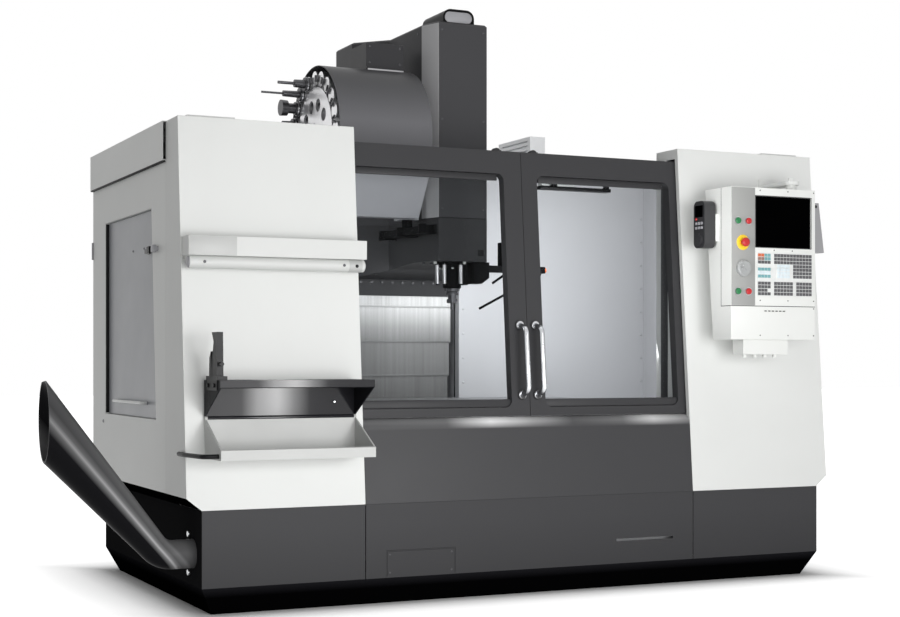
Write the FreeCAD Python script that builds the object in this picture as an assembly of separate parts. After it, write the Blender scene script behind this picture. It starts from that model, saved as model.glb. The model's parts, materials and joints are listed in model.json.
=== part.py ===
import FreeCAD, Part
import math
import os

# CNC vertical machining center with a full enclosure, a side-mounted tool changer,
# sliding front doors, a swivelling control pendant and a chip auger with its chute.
# Millimetres.  X runs along the table to the right, Y runs from the operator to the
# column, Z is up.  The origin is the point on the floor under the spindle axis.

V = FreeCAD.Vector
RUN_FIT = 0.05          # radial clearance of a shaft in its bearing
SEAT = 0.3              # gap left between bodies that touch or slide on each other
SHEET = 4.0             # enclosure sheet metal

# ---- enclosure ---------------------------------------------------------------------
HALF_WIDTH = 1550.0     # enclosure sides
BASE_TUCK = 60.0        # the charcoal base draws in this far below the sides
BASE_HALF = HALF_WIDTH - BASE_TUCK
FRONT_Y = -860.0        # front of the base, and foot of the leaning front
REAR_Y = 750.0          # back of the enclosure
KICK_TOP = 110.0        # black toe kick
KICK_RECESS = 55.0      # how far the toe kick draws in at the floor
BASE_TOP = 416.0        # top of the base, foot of the white covers
CORNER_TOP = 464.0      # where the slanted lower corner of the side ends
COVER_TOP = 1978.0      # top of the white front covers
FRONT_LEAN = 0.083      # the front leans back by this much for each mm of height
COVER_REAR_Y = -554.0   # where a front cover ends and the side panel begins
DOORWAY_HALF = 798.0    # doorway between the two white covers
SIDE_TOP = 1819.0       # top of the side panels, foot of the roof caps
CAP_TOP = 1980.0
CAP_PROUD = 14.0        # roof caps stand out past the sides
CAP_WIDTH = 114.0       # roof is open between the two caps
CAP_INNER_X = HALF_WIDTH - CAP_WIDTH
REAR_RETURN_X = 460.0   # rear sheets end beside the column

# ---- front doors -------------------------------------------------------------------
DOOR_INSET = 34.0       # door face lies this far behind the white covers
DOOR_DEPTH = 45.0
DOOR_BOTTOM = 766.0
DOOR_TOP = 1921.0
DOOR_OUTER_X = 890.0
DOOR_SEAM = 1.0         # half of the seam between the two doors
DOOR_TRAVEL = 600.0
WINDOW_BOTTOM = 803.0
WINDOW_TOP = 1821.0
WINDOW_CORNER = 32.0
LEFT_WINDOW_X = (-830.0, -88.0)
RIGHT_WINDOW_X = (77.0, 763.0)
PANE = 8.0
PANE_LAP = 16.0         # pane overlaps the frame round the opening
SILL_BREAK = 722.0      # where the sill starts to round over
SILL_TOP = 763.0
HANDLE_Z = (857.0, 1160.0)
HANDLE_STANDOFF = 62.0
HANDLE_R = 12.0

# ---- castings and axes -------------------------------------------------------------
CAST_BOTTOM = 90.0
BED_TOP = 460.0
BED_HALF = 700.0
BED_FRONT_Y = -520.0
BED_REAR_Y = 1350.0
COLUMN_FRONT_Y = 830.0
COLUMN_HALF = 300.0
COLUMN_TOP = 2480.0
COLUMN_FOOT_Z = 660.0   # the column flares out below this height
RAIL_W = 45.0
RAIL_H = 35.0
Y_RAIL_X = 330.0
Z_RAIL_X = 200.0
X_RAIL_Y = 170.0
SCREW_R = 20.0
SADDLE_TOP = 650.0
SADDLE_HALF = 750.0
TABLE_TOP = 823.0
TABLE_THICK = 95.0
TABLE_LENGTH = 1219.0
TABLE_WIDTH = 457.0
T_SLOT_PITCH = 125.0
T_SLOT_W = 16.0
T_SLOT_FOOT = 28.0

# ---- spindle head ------------------------------------------------------------------
HEAD_TOP = 2600.0
HEAD_SEAM = 1678.0      # sheet cover above, casting below
HEAD_BOTTOM = 1474.0
HEAD_NOSE_Z = 1350.0
HEAD_FRONT_Y = -121.0
HEAD_FRONT_HALF = 126.0
HEAD_SIDE_HALF = 162.0
HEAD_SIDE_Y = -10.0     # the front corners are chamfered back to here
HEAD_FLARE_Y = 389.0    # the sides flare out from here
HEAD_WIDE_HALF = 300.0
HEAD_WIDE_Y = 536.0
HEAD_REAR_Y = 758.0
COVER_WALL = 5.0
APRON_Z = 1337.0        # lower edge of the dark apron under the head
PLATE_Y = 604.0         # front face of the first way cover plate
PLATE_T = 4.0
PLATE_STEP = 8.0        # each plate lies this far behind the one above
PLATE_HALF = 286.0
PLATE_H = 292.0
PLATE_EDGES = (1280.0, 1101.0, 927.0, 740.0)    # lower edges, from the head down
SPINDLE_R = 34.0
NOSE_R = 44.0
FLANGE_R = 72.0

# ---- tool changer ------------------------------------------------------------------
DRUM_Z = 2040.0
CHANGER_R = 320.0
CHANGER_X = (-700.0, -250.0)
CHANGER_SKIRT_Z = 1900.0
GUARD_FOOT = (-167.0, 1663.0)
POCKETS = 20
POCKET_CIRCLE_R = 262.0
POCKET_R = 34.0
POCKET_X = (-700.0, -560.0)
DRUM_DISC_R = 222.0
TOOL_POCKETS = range(10)    # the pockets that hold a tool, counted from the lowest
DRUM_SHAFT_R = 30.0
FRAME_ARM_X = (-470.0, -400.0)
ARM_REACH = 235.0       # from the arm's pivot to the spindle and to the change station
ARM_Z = (1588.0, 1632.0)
ARM_SHAFT_R = 25.0

# ---- chip auger --------------------------------------------------------------------
AUGER_Y = -739.0
AUGER_Z = 238.0
AUGER_R = 50.0
AUGER_PITCH = 280.0
TROUGH_R = 62.0
TROUGH_TOP = 406.0
CHUTE_R = 58.0
CHUTE_MOUTH_R = 106.0
CHUTE_WALL = 5.0
CHUTE_STUB = 88.0       # the elbow begins this far out of the base
CHUTE_ELBOW_X = -BASE_HALF - CHUTE_STUB
CHUTE_RISE = 49.0       # degrees above the floor
CHUTE_REACH = 497.0     # the mouth lies this far out from the elbow
CHUTE_MOUTH_X = CHUTE_ELBOW_X - CHUTE_REACH

# ---- side window, shelf and bin ----------------------------------------------------
SIDE_WINDOW_Y = (-403.0, 497.0)     # its foot; the front edge leans with the front
SIDE_WINDOW_Z = (759.0, 1643.0)
SIDE_RECESS = 16.0
WINDOW_LAP = 14.0       # the stop frame overlaps the window leaf by this much
SHELF_X = (-1545.0, -798.0)
SHELF_Z = (1366.0, 1493.0)
SHELF_LIP_Z = 1417.0
SHELF_DEPTH = 96.0
BIN_X = (-1472.0, -835.0)
BIN_HINGE_Z = 778.0
BIN_FLOOR_Z = 622.0
BIN_LIP_H = 39.0
BIN_REACH = 215.0
LID_TOP_Z = 929.0
LID_LIP_H = 28.0

# ---- control pendant ---------------------------------------------------------------
PENDANT_X = (863.0, 1323.0)
PENDANT_Z = (1099.0, 1777.0)
PENDANT_SPLIT_Z = 1250.0
PENDANT_FRONT_Y = -1060.0
PENDANT_TOP_DEPTH = 201.0
PENDANT_BOTTOM_DEPTH = 138.0
SCREEN_X = (995.0, 1299.0)
SCREEN_Z = (1512.0, 1740.0)
KEYS_X = (1000.0, 1305.0)
KEYS_Z = (1292.0, 1488.0)
BUTTON_X = (899.0, 955.0)
BUTTON_Z = (1313.0, 1626.0)
BUTTON_R = 14.0
STOP_X = 926.0
STOP_Z = 1530.0
JOG_Z = 1416.0
JOG_R = 36.0
PIVOT_X = 1285.0
PIVOT_Y = -935.0


def front_y(z, inset=0.0):
    """Y of the leaning front at height z, plus an inset towards the back."""
    return FRONT_Y + FRONT_LEAN * (z - BASE_TOP) + inset


def box(x_span, y_span, z_span):
    size = [high - low for low, high in (x_span, y_span, z_span)]
    return Part.makeBox(*size, V(x_span[0], y_span[0], z_span[0]))


def cylinder(start, axis, radius, length):
    return Part.makeCylinder(radius, length, V(*start), V(*axis))


def prism(corners, direction):
    """Straight-sided outline swept along a direction."""
    points = [V(*corner) for corner in corners]
    wire = Part.makePolygon(points + points[:1])
    return Part.Face(wire).extrude(V(*direction))


def prism_x(profile, x_span):
    corners = [(x_span[0], y, z) for y, z in profile]
    return prism(corners, (x_span[1] - x_span[0], 0, 0))


def prism_y(profile, y_span):
    corners = [(x, y_span[0], z) for x, z in profile]
    return prism(corners, (0, y_span[1] - y_span[0], 0))


def prism_z(profile, z_span):
    corners = [(x, y, z_span[0]) for x, y in profile]
    return prism(corners, (0, 0, z_span[1] - z_span[0]))


def joined(shapes):
    first = shapes[0]
    return first.multiFuse(shapes[1:]).removeSplitter()


def rounded_wire(corners, radius):
    """Closed outline with every corner rounded by one radius."""
    points = [V(*corner) for corner in corners]
    edges = []
    starts = []
    for index, corner in enumerate(points):
        before = (points[index - 1] - corner).normalize()
        after = (points[(index + 1) % len(points)] - corner).normalize()
        half = before.getAngle(after) / 2
        reach = radius / math.tan(half)
        middle = (before + after).normalize()
        crown = corner + middle * (radius / math.sin(half) - radius)
        arc = Part.Arc(corner + before * reach, crown, corner + after * reach)
        starts.append((corner + before * reach, corner + after * reach, arc.toShape()))
    for index, (_, leave, arc) in enumerate(starts):
        arrive = starts[(index + 1) % len(starts)][0]
        edges.append(arc)
        edges.append(Part.LineSegment(leave, arrive).toShape())
    return Part.Wire(Part.__sortEdges__(edges))


def rounded_prism(corners, radius, direction):
    return Part.Face(rounded_wire(corners, radius)).extrude(V(*direction))


def bent_bar(corners, radius, bend):
    """Round bar along straight runs joined by tangent arcs."""
    points = [V(*corner) for corner in corners]
    edges = []
    here = points[0]
    for index in range(1, len(points) - 1):
        corner = points[index]
        before = (points[index - 1] - corner).normalize()
        after = (points[index + 1] - corner).normalize()
        half = before.getAngle(after) / 2
        reach = bend / math.tan(half)
        crown = corner + (before + after).normalize() * (bend / math.sin(half) - bend)
        edges.append(Part.LineSegment(here, corner + before * reach).toShape())
        arc = Part.Arc(corner + before * reach, crown, corner + after * reach)
        edges.append(arc.toShape())
        here = corner + after * reach
    edges.append(Part.LineSegment(here, points[-1]).toShape())
    path = Part.Wire(edges)
    section = Part.Wire(Part.makeCircle(radius, points[0], points[1] - points[0]))
    return path.makePipeShell([section], True, False)


def turned(profile, start, axis):
    """Body of revolution from (distance along the axis, radius) points."""
    along = V(*axis)
    side = V(0, 0, 1) if abs(along.z) < 0.5 else V(1, 0, 0)
    corners = [V(*start) + along * distance + side * radius for distance, radius in profile]
    face = Part.Face(Part.makePolygon(corners + corners[:1]))
    return face.revolve(V(*start), along, 360)


def front_slab(x_span, z_span, inset, depth):
    """Plate that leans with the front, its face set back by the inset."""
    low, high = z_span
    profile = [(front_y(low, inset), low), (front_y(high, inset), high),
               (front_y(high, inset + depth), high), (front_y(low, inset + depth), low)]
    return prism_x(profile, x_span)


def save(name, shape):
    shape.exportStep("parts/" + name + ".step")


# ---- castings ----------------------------------------------------------------------

FOOT_PLACES = [(x, y) for x in (-BED_HALF + 60, BED_HALF - 60)
               for y in (BED_FRONT_Y + 60, (BED_FRONT_Y + BED_REAR_Y) / 2, BED_REAR_Y - 60)]
CHANNEL_HALF = 110.0
CHANNEL_FLOOR = 360.0


def base_casting():
    """Ribbed cast bed with two way lands, a screw channel and pads for the feet."""
    shoulder = BED_TOP - 120
    profile = [(-BED_HALF, CAST_BOTTOM), (BED_HALF, CAST_BOTTOM), (BED_HALF, shoulder),
               (COLUMN_HALF + 120, BED_TOP), (-COLUMN_HALF - 120, BED_TOP),
               (-BED_HALF, shoulder)]
    bed = prism_y(profile, (BED_FRONT_Y, BED_REAR_Y))
    channel = box((-CHANNEL_HALF, CHANNEL_HALF), (BED_FRONT_Y - 1, COLUMN_FRONT_Y - 60),
                  (CHANNEL_FLOOR, BED_TOP + 1))
    pockets = []
    for x_span in ((-BED_HALF + 120, -CHANNEL_HALF - 40), (CHANNEL_HALF + 40, BED_HALF - 120)):
        for low in (BED_FRONT_Y + 50, (BED_FRONT_Y + BED_REAR_Y) / 2 + 25):
            high = low + (BED_REAR_Y - BED_FRONT_Y) / 2 - 75
            pockets.append(box(x_span, (low, high), (CAST_BOTTOM - 1, shoulder - 60)))
    return bed.cut(channel).cut(Part.makeCompound(pockets))


def levelling_feet():
    """Pad, stud and lock nut under each corner and the middle of the bed."""
    feet = []
    for x, y in FOOT_PLACES:
        profile = [(0, 0), (0, 55), (14, 55), (26, 30), (26, 16), (CAST_BOTTOM - 18, 16),
                   (CAST_BOTTOM - 18, 26), (CAST_BOTTOM, 26), (CAST_BOTTOM, 0)]
        feet.append(turned(profile, (x, y, 0), (0, 0, 1)))
    return Part.makeCompound(feet)


def column_casting():
    """Tapered column with a wide foot, open ribs at the back and screw bearing lugs."""
    side = [(COLUMN_FRONT_Y, BED_TOP), (BED_REAR_Y, BED_TOP), (BED_REAR_Y, BED_TOP + 260),
            (BED_REAR_Y - 90, COLUMN_TOP), (COLUMN_FRONT_Y, COLUMN_TOP)]
    column = prism_x(side, (-COLUMN_HALF, COLUMN_HALF))
    foot_half = COLUMN_HALF + 100
    foot = prism_y([(-foot_half, BED_TOP), (foot_half, BED_TOP), (COLUMN_HALF, COLUMN_FOOT_Z),
                    (-COLUMN_HALF, COLUMN_FOOT_Z)], (COLUMN_FRONT_Y, BED_REAR_Y))
    body = column.fuse(foot)
    rib = 60.0
    cells = 4
    height = (COLUMN_TOP - BED_TOP - rib) / cells
    pockets = []
    for cell in range(cells):
        low = BED_TOP + rib + cell * height
        pockets.append(box((-COLUMN_HALF + rib, COLUMN_HALF - rib),
                           (COLUMN_FRONT_Y + 150, BED_REAR_Y + 1), (low, low + height - rib)))
    body = body.cut(Part.makeCompound(pockets))
    lugs = []
    for low in (Z_SCREW_Z[0], Z_SCREW_Z[1] - 40):
        lug = box((-50, 50), (Z_SCREW_Y - 30, COLUMN_FRONT_Y), (low, low + 40))
        lugs.append(lug.cut(cylinder((0, Z_SCREW_Y, low - 1), (0, 0, 1), SCREW_R + RUN_FIT, 42)))
    return joined([body] + lugs)


Z_SCREW_Y = COLUMN_FRONT_Y - 35
Z_SCREW_Z = (1120.0, COLUMN_TOP)


def linear_rails():
    """Profile rails of the Y axis on the bed and of the Z axis on the column."""
    rails = []
    for x in (-Y_RAIL_X, Y_RAIL_X):
        rails.append(rail((x, (BED_FRONT_Y + 10, PLATE_Y - 40), BED_TOP), "y"))
    for x in (-Z_RAIL_X, Z_RAIL_X):
        rails.append(rail((x, COLUMN_FRONT_Y, (1080.0, COLUMN_TOP - 20)), "z"))
    return Part.makeCompound(rails)


def rail(place, run):
    """Rail with a narrow waist that the bearing blocks reach round."""
    half = RAIL_W / 2
    waist = half - 5
    section = [(-half, 0), (half, 0), (half, 10), (waist, 15), (waist, 22), (half, 27),
               (half, RAIL_H), (-half, RAIL_H), (-half, 27), (-waist, 22), (-waist, 15),
               (-half, 10)]
    if run == "y":
        x, y_span, z = place
        return prism_y([(x + u, z + v) for u, v in section], y_span)
    if run == "z":
        x, y, z_span = place
        return prism_z([(x + u, y - v) for u, v in section], z_span)
    x_span, y, z = place
    return prism_x([(y + u, z + v) for u, v in section], x_span)


BLOCK_GAP = 0.4         # running gap between a bearing block and its rail


def block_section(height):
    """Half-open section of a bearing block over a rail, foot of the rail at zero."""
    inner = RAIL_W / 2 + BLOCK_GAP
    outer = 50.0
    return [(-outer, 8), (-inner, 8), (-inner, RAIL_H + BLOCK_GAP), (inner, RAIL_H + BLOCK_GAP),
            (inner, 8), (outer, 8), (outer, height), (-outer, height)]


def servo_motors():
    """Z motor on top of the column and Y motor in the bed's channel."""
    z_motor = servo((0, Z_SCREW_Y + 70, COLUMN_TOP), (0, 0, 1), 150)
    z_case = box((-55, 55), (HEAD_REAR_Y + 8, Z_SCREW_Y - 5), (COLUMN_TOP, COLUMN_TOP + 30))
    low = CHANNEL_FLOOR + 5
    y_motor = box((-65, 65), (610, COLUMN_FRONT_Y - 65), (CHANNEL_FLOOR, CHANNEL_FLOOR + 130))
    bearing = box((-50, 50), (570, 600), (CHANNEL_FLOOR, low + 100))
    bearing = bearing.cut(cylinder((0, 569, Y_SCREW_Z), (0, 1, 0), SCREW_R + RUN_FIT, 32))
    front = box((-50, 50), (BED_FRONT_Y + 10, BED_FRONT_Y + 40), (CHANNEL_FLOOR, low + 100))
    front = front.cut(cylinder((0, BED_FRONT_Y, Y_SCREW_Z), (0, 1, 0), SCREW_R + RUN_FIT, 60))
    return Part.makeCompound([z_motor, z_case, y_motor, bearing, front])


Y_SCREW_Z = CHANNEL_FLOOR + 60


def servo(seat, axis, size):
    """Square finned servo motor with a round end cap, standing on its flange."""
    x, y, z = seat
    half = size / 2
    corners = [(x - half, y - half, z), (x + half, y - half, z), (x + half, y + half, z),
               (x - half, y + half, z)]
    body = rounded_prism(corners, 14, (0, 0, 105))
    cap = cylinder((x, y, z + 105), axis, half - 12, 30)
    return body.fuse(cap)


# ---- base sheets -------------------------------------------------------------------

def plan_rectangle(inset, z):
    corners = [(-BASE_HALF + inset, FRONT_Y + inset, z), (BASE_HALF - inset, FRONT_Y + inset, z),
               (BASE_HALF - inset, REAR_Y - inset, z), (-BASE_HALF + inset, REAR_Y - inset, z)]
    points = [V(*corner) for corner in corners]
    return Part.makePolygon(points + points[:1])


def base_skirt():
    """Black toe kick, drawn in towards the floor all round."""
    outer = Part.makeLoft([plan_rectangle(KICK_RECESS, 0), plan_rectangle(0, KICK_TOP)], True)
    wall = 10.0
    inner = Part.makeLoft([plan_rectangle(KICK_RECESS + wall, -0.5),
                           plan_rectangle(wall, KICK_TOP + 0.5)], True)
    bed = box((-BED_HALF - SEAT, BED_HALF + SEAT), (REAR_Y - 100, REAR_Y + 1),
              (CAST_BOTTOM - SEAT, KICK_TOP + 1))
    return outer.cut(inner).cut(bed)


HATCH_X = (-702.0, -397.0)
HATCH_Z = (118.0, 217.0)
GRIP_X = (396.0, 690.0)
GRIP_Z = (208.0, 219.0)


def base_panels():
    """Charcoal base sheets: two folded corners, the middle front and the back."""
    wall = 6.0
    span = (KICK_TOP, BASE_TOP)
    seam = 1.5
    sheets = []
    for side in (-1, 1):
        edge = side * BASE_HALF
        joint = side * (DOORWAY_HALF + seam)
        profile = [(joint, FRONT_Y), (edge, FRONT_Y), (edge, REAR_Y - wall),
                   (edge - side * wall, REAR_Y - wall), (edge - side * wall, FRONT_Y + wall),
                   (joint, FRONT_Y + wall)]
        sheet = prism_z(profile, span)
        if side < 0:
            hole = cylinder((edge - 1, AUGER_Y, AUGER_Z), (1, 0, 0), CHUTE_R + SEAT, wall + 2)
            sheet = sheet.cut(hole)
        sheets.append(sheet)
    middle = box((-DOORWAY_HALF + seam, DOORWAY_HALF - seam), (FRONT_Y, FRONT_Y + wall), span)
    groove = 5.0
    outer = box((HATCH_X[0] - groove, HATCH_X[1] + groove), (FRONT_Y - 1, FRONT_Y + 2.5),
                (HATCH_Z[0], HATCH_Z[1] + groove))
    hatch = box(HATCH_X, (FRONT_Y - 2, FRONT_Y + 4), HATCH_Z)
    grip = box(GRIP_X, (FRONT_Y - 1, FRONT_Y + wall + 1), GRIP_Z)
    sheets.append(middle.cut(outer.cut(hatch)).cut(grip))
    for side in (-1, 1):
        near, far = sorted((side * (BED_HALF + SEAT), side * BASE_HALF))
        sheets.append(box((near, far), (REAR_Y - wall, REAR_Y), span))
    return Part.makeCompound(sheets)


# ---- white covers and side panels --------------------------------------------------

def cover_outline(side, inset):
    """Front view of a white cover, drawn in by an inset on all sides."""
    outer = HALF_WIDTH - inset
    foot = BASE_HALF - inset
    inner = DOORWAY_HALF + inset
    low = BASE_TOP - inset
    return [(side * foot, low), (side * inner, low), (side * inner, COVER_TOP - inset),
            (side * outer, COVER_TOP - inset), (side * outer, CORNER_TOP + inset * 0.4)]


BEAM_Z = (1850.0, 1905.0)
BEAM_Y = (-648.0, -612.0)


def front_cover(side):
    """Leaning white cover, open at the back, slotted for the door, a low box on its top."""
    keep = front_slab((-HALF_WIDTH, HALF_WIDTH), (BASE_TOP, COVER_TOP), 0, 600)
    outer = prism_y(cover_outline(side, 0), (FRONT_Y, COVER_REAR_Y)).common(keep)
    hollow_keep = front_slab((-HALF_WIDTH, HALF_WIDTH), (BASE_TOP, COVER_TOP), SHEET, 900)
    hollow = prism_y(cover_outline(side, SHEET), (FRONT_Y, COVER_REAR_Y + 1)).common(hollow_keep)
    shell = outer.cut(hollow)
    near, far = sorted((side * (DOORWAY_HALF - 1), side * (DOORWAY_HALF + SHEET + 1)))
    slot = front_slab((near, far), (SILL_TOP - 20, DOOR_TOP + 12), DOOR_INSET - 8,
                      DOOR_DEPTH + PANE + 30)
    top_slot = box((near, far), (BEAM_Y[0] - 14, BEAM_Y[1] + 14), (BEAM_Z[0] - 10, DOOR_TOP + 12))
    pan_gap = box((near, far), (COVER_REAR_Y - 86, COVER_REAR_Y + 1), (BASE_TOP - 1, BASE_TOP + 12))
    low, high = sorted((side * (HALF_WIDTH - 250), side * (HALF_WIDTH - 50)))
    top_box = box((low, high), (-690, -570), (COVER_TOP - 1, COVER_TOP + 12))
    return shell.cut(slot).cut(top_slot).cut(pan_gap).fuse(top_box)


def side_panel(side):
    """Side sheet with its slanted lower corner, the return across the back and its shelf."""
    fold = SHEET
    profile = [(side * BASE_HALF, BASE_TOP), (side * HALF_WIDTH, CORNER_TOP),
               (side * HALF_WIDTH, SIDE_TOP), (side * (HALF_WIDTH - fold), SIDE_TOP),
               (side * (HALF_WIDTH - fold), CORNER_TOP + 2), (side * (BASE_HALF - 5), BASE_TOP)]
    sheet = prism_y(profile, (COVER_REAR_Y, REAR_Y))
    x_near, x_far = sorted((side * REAR_RETURN_X, side * (HALF_WIDTH - fold)))
    back = box((x_near, x_far), (REAR_Y - fold, REAR_Y), (BED_TOP + 10, SIDE_TOP))
    low_back = prism_y([(side * (BED_HALF + SEAT), BASE_TOP), (side * (BASE_HALF - 5), BASE_TOP),
                        (side * (HALF_WIDTH - fold), CORNER_TOP + 2),
                        (side * (HALF_WIDTH - fold), BED_TOP + 10),
                        (side * (BED_HALF + SEAT), BED_TOP + 10)], (REAR_Y - fold, REAR_Y))
    shelf = box((x_near, x_far), (LINER_Y + SHEET, REAR_Y), (SIDE_TOP - fold, SIDE_TOP))
    return joined([sheet, back, low_back, shelf])


def window_plate(x_span, inset):
    """Plate in the outline of the side window, drawn in by an inset all round."""
    y_low, y_high = SIDE_WINDOW_Y
    z_low, z_high = SIDE_WINDOW_Z
    bottom = z_low + inset
    top = z_high - inset
    profile = [(y_low + inset + FRONT_LEAN * (bottom - z_low), bottom), (y_high - inset, bottom),
               (y_high - inset, top), (y_low + inset + FRONT_LEAN * (top - z_low), top)]
    return prism_x(profile, x_span)


def left_side_panel():
    """Left side with the recessed window opening, its pivot stubs and the latch keeper."""
    panel = side_panel(-1)
    depth = SIDE_RECESS + 13
    face = -HALF_WIDTH
    opening = window_plate((face - 1, face + depth + 1), 0)
    jamb = window_plate((face, face + depth), -SHEET)
    stop = window_plate((face + depth - SHEET, face + depth), 0)
    light = window_plate((face, face + depth + 1), WINDOW_LAP)
    framed = joined([panel.cut(opening), jamb.cut(opening)]).fuse(stop.cut(light))
    stubs = []
    for z in (SIDE_WINDOW_Z[0] - 0.5, SIDE_WINDOW_Z[1] - WINDOW_GAP + SEAT):
        stubs.append(cylinder((PIVOT_LINE[0], PIVOT_LINE[1], z), (0, 0, 1), LEAF_T / 2,
                              WINDOW_GAP - SEAT + 0.5))
    keeper = box((face - 10, face + 0.5), (-442, -356), LATCH_Z)
    knob = box((face - 24, face - 9), (-442, -414), (LATCH_Z[0] - 6, LATCH_Z[1] + 6))
    return joined([framed, keeper, knob] + stubs)


WINDOW_GAP = 3.0
LEAF_T = 8.7
PIVOT_LINE = (-HALF_WIDTH + SIDE_RECESS + LEAF_T / 2, SIDE_WINDOW_Y[1] - WINDOW_GAP - LEAF_T / 2)
LATCH_Z = (1459.0, 1477.0)


def side_window():
    """Window leaf with a rolled rear edge that it turns on, its bar handle and latch."""
    face = -HALF_WIDTH + SIDE_RECESS
    leaf = window_plate((face, face + LEAF_T), WINDOW_GAP)
    behind = box((face - 1, face + LEAF_T + 1), (PIVOT_LINE[1], SIDE_WINDOW_Y[1]),
                 (SIDE_WINDOW_Z[0], SIDE_WINDOW_Z[1]))
    edge = cylinder((PIVOT_LINE[0], PIVOT_LINE[1], SIDE_WINDOW_Z[0] + WINDOW_GAP), (0, 0, 1),
                    LEAF_T / 2, SIDE_WINDOW_Z[1] - SIDE_WINDOW_Z[0] - 2 * WINDOW_GAP)
    bar_z = SIDE_WINDOW_Z[0] + 65
    bar = bent_bar([(face + 4, -205, bar_z), (face - 26, -205, bar_z), (face - 26, 303, bar_z),
                    (face + 4, 303, bar_z)], 7, 12)
    latch = box((face - 18, face + 3), (-330, -224), LATCH_Z)
    grip = box((face - 30, face - 17), (-330, -300), (LATCH_Z[0] - 8, LATCH_Z[1] + 8))
    return joined([leaf.cut(behind), edge, bar, latch, grip])


def roof_caps():
    """Folded caps over the cavity between each side panel and the liner."""
    caps = []
    for side in (-1, 1):
        outer = HALF_WIDTH + CAP_PROUD
        profile = [(side * (HALF_WIDTH - SHEET), SIDE_TOP), (side * outer, SIDE_TOP),
                   (side * outer, CAP_TOP), (side * CAP_INNER_X, CAP_TOP),
                   (side * CAP_INNER_X, SIDE_TOP), (side * (CAP_INNER_X + SHEET), SIDE_TOP),
                   (side * (CAP_INNER_X + SHEET), CAP_TOP - SHEET),
                   (side * (outer - SHEET), CAP_TOP - SHEET),
                   (side * (outer - SHEET), SIDE_TOP + SHEET),
                   (side * (HALF_WIDTH - SHEET), SIDE_TOP + SHEET)]
        cap = prism_y(profile, (COVER_REAR_Y, REAR_Y))
        near, far = sorted((side * (outer - SHEET), side * (CAP_INNER_X + SHEET)))
        back = box((near, far), (REAR_Y - SHEET, REAR_Y), (SIDE_TOP, CAP_TOP - SHEET))
        caps.append(joined([cap, back]))
    return Part.makeCompound(caps)


# ---- doorway -----------------------------------------------------------------------

def sill_panel():
    """Chip-pan front between the covers: a leaning sheet that rounds over at the top."""
    half = DOORWAY_HALF - 1
    wall = SHEET
    shelf_y = front_y(SILL_TOP, DOOR_INSET + DOOR_DEPTH + 60)
    foot = front_y(BASE_TOP)
    start = V(-half, front_y(SILL_BREAK), SILL_BREAK)
    end = V(-half, front_y(SILL_TOP, DOOR_INSET), SILL_TOP)
    crown = V(-half, front_y(SILL_TOP, 9), SILL_TOP - 13)
    outer = [Part.LineSegment(V(-half, foot, BASE_TOP), start).toShape(),
             Part.Arc(start, crown, end).toShape(),
             Part.LineSegment(end, V(-half, shelf_y, SILL_TOP)).toShape()]
    low = SILL_TOP - wall
    start_in = V(-half, front_y(SILL_BREAK, wall), SILL_BREAK)
    end_in = V(-half, front_y(SILL_TOP, DOOR_INSET), low)
    crown_in = V(-half, front_y(SILL_TOP, 12), SILL_TOP - 17)
    inner = [Part.LineSegment(V(-half, shelf_y, SILL_TOP), V(-half, shelf_y, low)).toShape(),
             Part.LineSegment(V(-half, shelf_y, low), end_in).toShape(),
             Part.Arc(end_in, crown_in, start_in).toShape(),
             Part.LineSegment(start_in, V(-half, foot + wall, BASE_TOP)).toShape(),
             Part.LineSegment(V(-half, foot + wall, BASE_TOP), V(-half, foot, BASE_TOP)).toShape()]
    face = Part.Face(Part.Wire(outer + inner))
    return face.extrude(V(2 * half, 0, 0))


def door_track():
    """Header beam whose upper lip carries the door rollers."""
    half = HALF_WIDTH - SHEET
    low, high = BEAM_Z
    near, far = BEAM_Y
    profile = [(near, low), (far, low), (far, high), (far - 10, high), (far - 10, low + 8),
               (near + 10, low + 8), (near + 10, high - 8), (near + 18, high), (near, high)]
    return prism_x(profile, (-half, half))


def door_frame(side):
    """Door leaf with a round-cornered window opening and two roller hangers."""
    window = LEFT_WINDOW_X if side < 0 else RIGHT_WINDOW_X
    near, far = sorted((side * DOOR_SEAM, side * DOOR_OUTER_X))
    leaf = front_slab((near, far), (DOOR_BOTTOM, DOOR_TOP), DOOR_INSET, DOOR_DEPTH)
    corners = [(window[0], FRONT_Y - 10, WINDOW_BOTTOM), (window[1], FRONT_Y - 10, WINDOW_BOTTOM),
               (window[1], FRONT_Y - 10, WINDOW_TOP), (window[0], FRONT_Y - 10, WINDOW_TOP)]
    leaf = leaf.cut(rounded_prism(corners, WINDOW_CORNER, (0, 400, 0)))
    pieces = [leaf]
    wheel_y = (BEAM_Y[0] + 9)
    wheel_z = BEAM_Z[1] + ROLLER_R + SEAT
    back = front_y(DOOR_TOP, DOOR_INSET + DOOR_DEPTH)
    for x in (side * (DOOR_SEAM + 90), side * (DOOR_OUTER_X - 60)):
        arm = box((x - 20, x + 20), (back - 12, BEAM_Y[0] - 2), (DOOR_TOP - 12, DOOR_TOP))
        ear = box((x - 20, x + 20), (BEAM_Y[0] - 8, BEAM_Y[0] - 2), (DOOR_TOP - 12, wheel_z + 8))
        wheel = cylinder((x, BEAM_Y[0] - 4, wheel_z), (0, 1, 0), ROLLER_R, 22)
        pieces += [arm, ear, wheel]
    return joined(pieces)


ROLLER_R = 18.0


def door_window(side):
    """Clear pane fixed to the back of the door leaf."""
    window = LEFT_WINDOW_X if side < 0 else RIGHT_WINDOW_X
    return front_slab((window[0] - PANE_LAP, window[1] + PANE_LAP),
                      (WINDOW_BOTTOM - PANE_LAP, WINDOW_TOP + PANE_LAP),
                      DOOR_INSET + DOOR_DEPTH, PANE)


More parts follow.
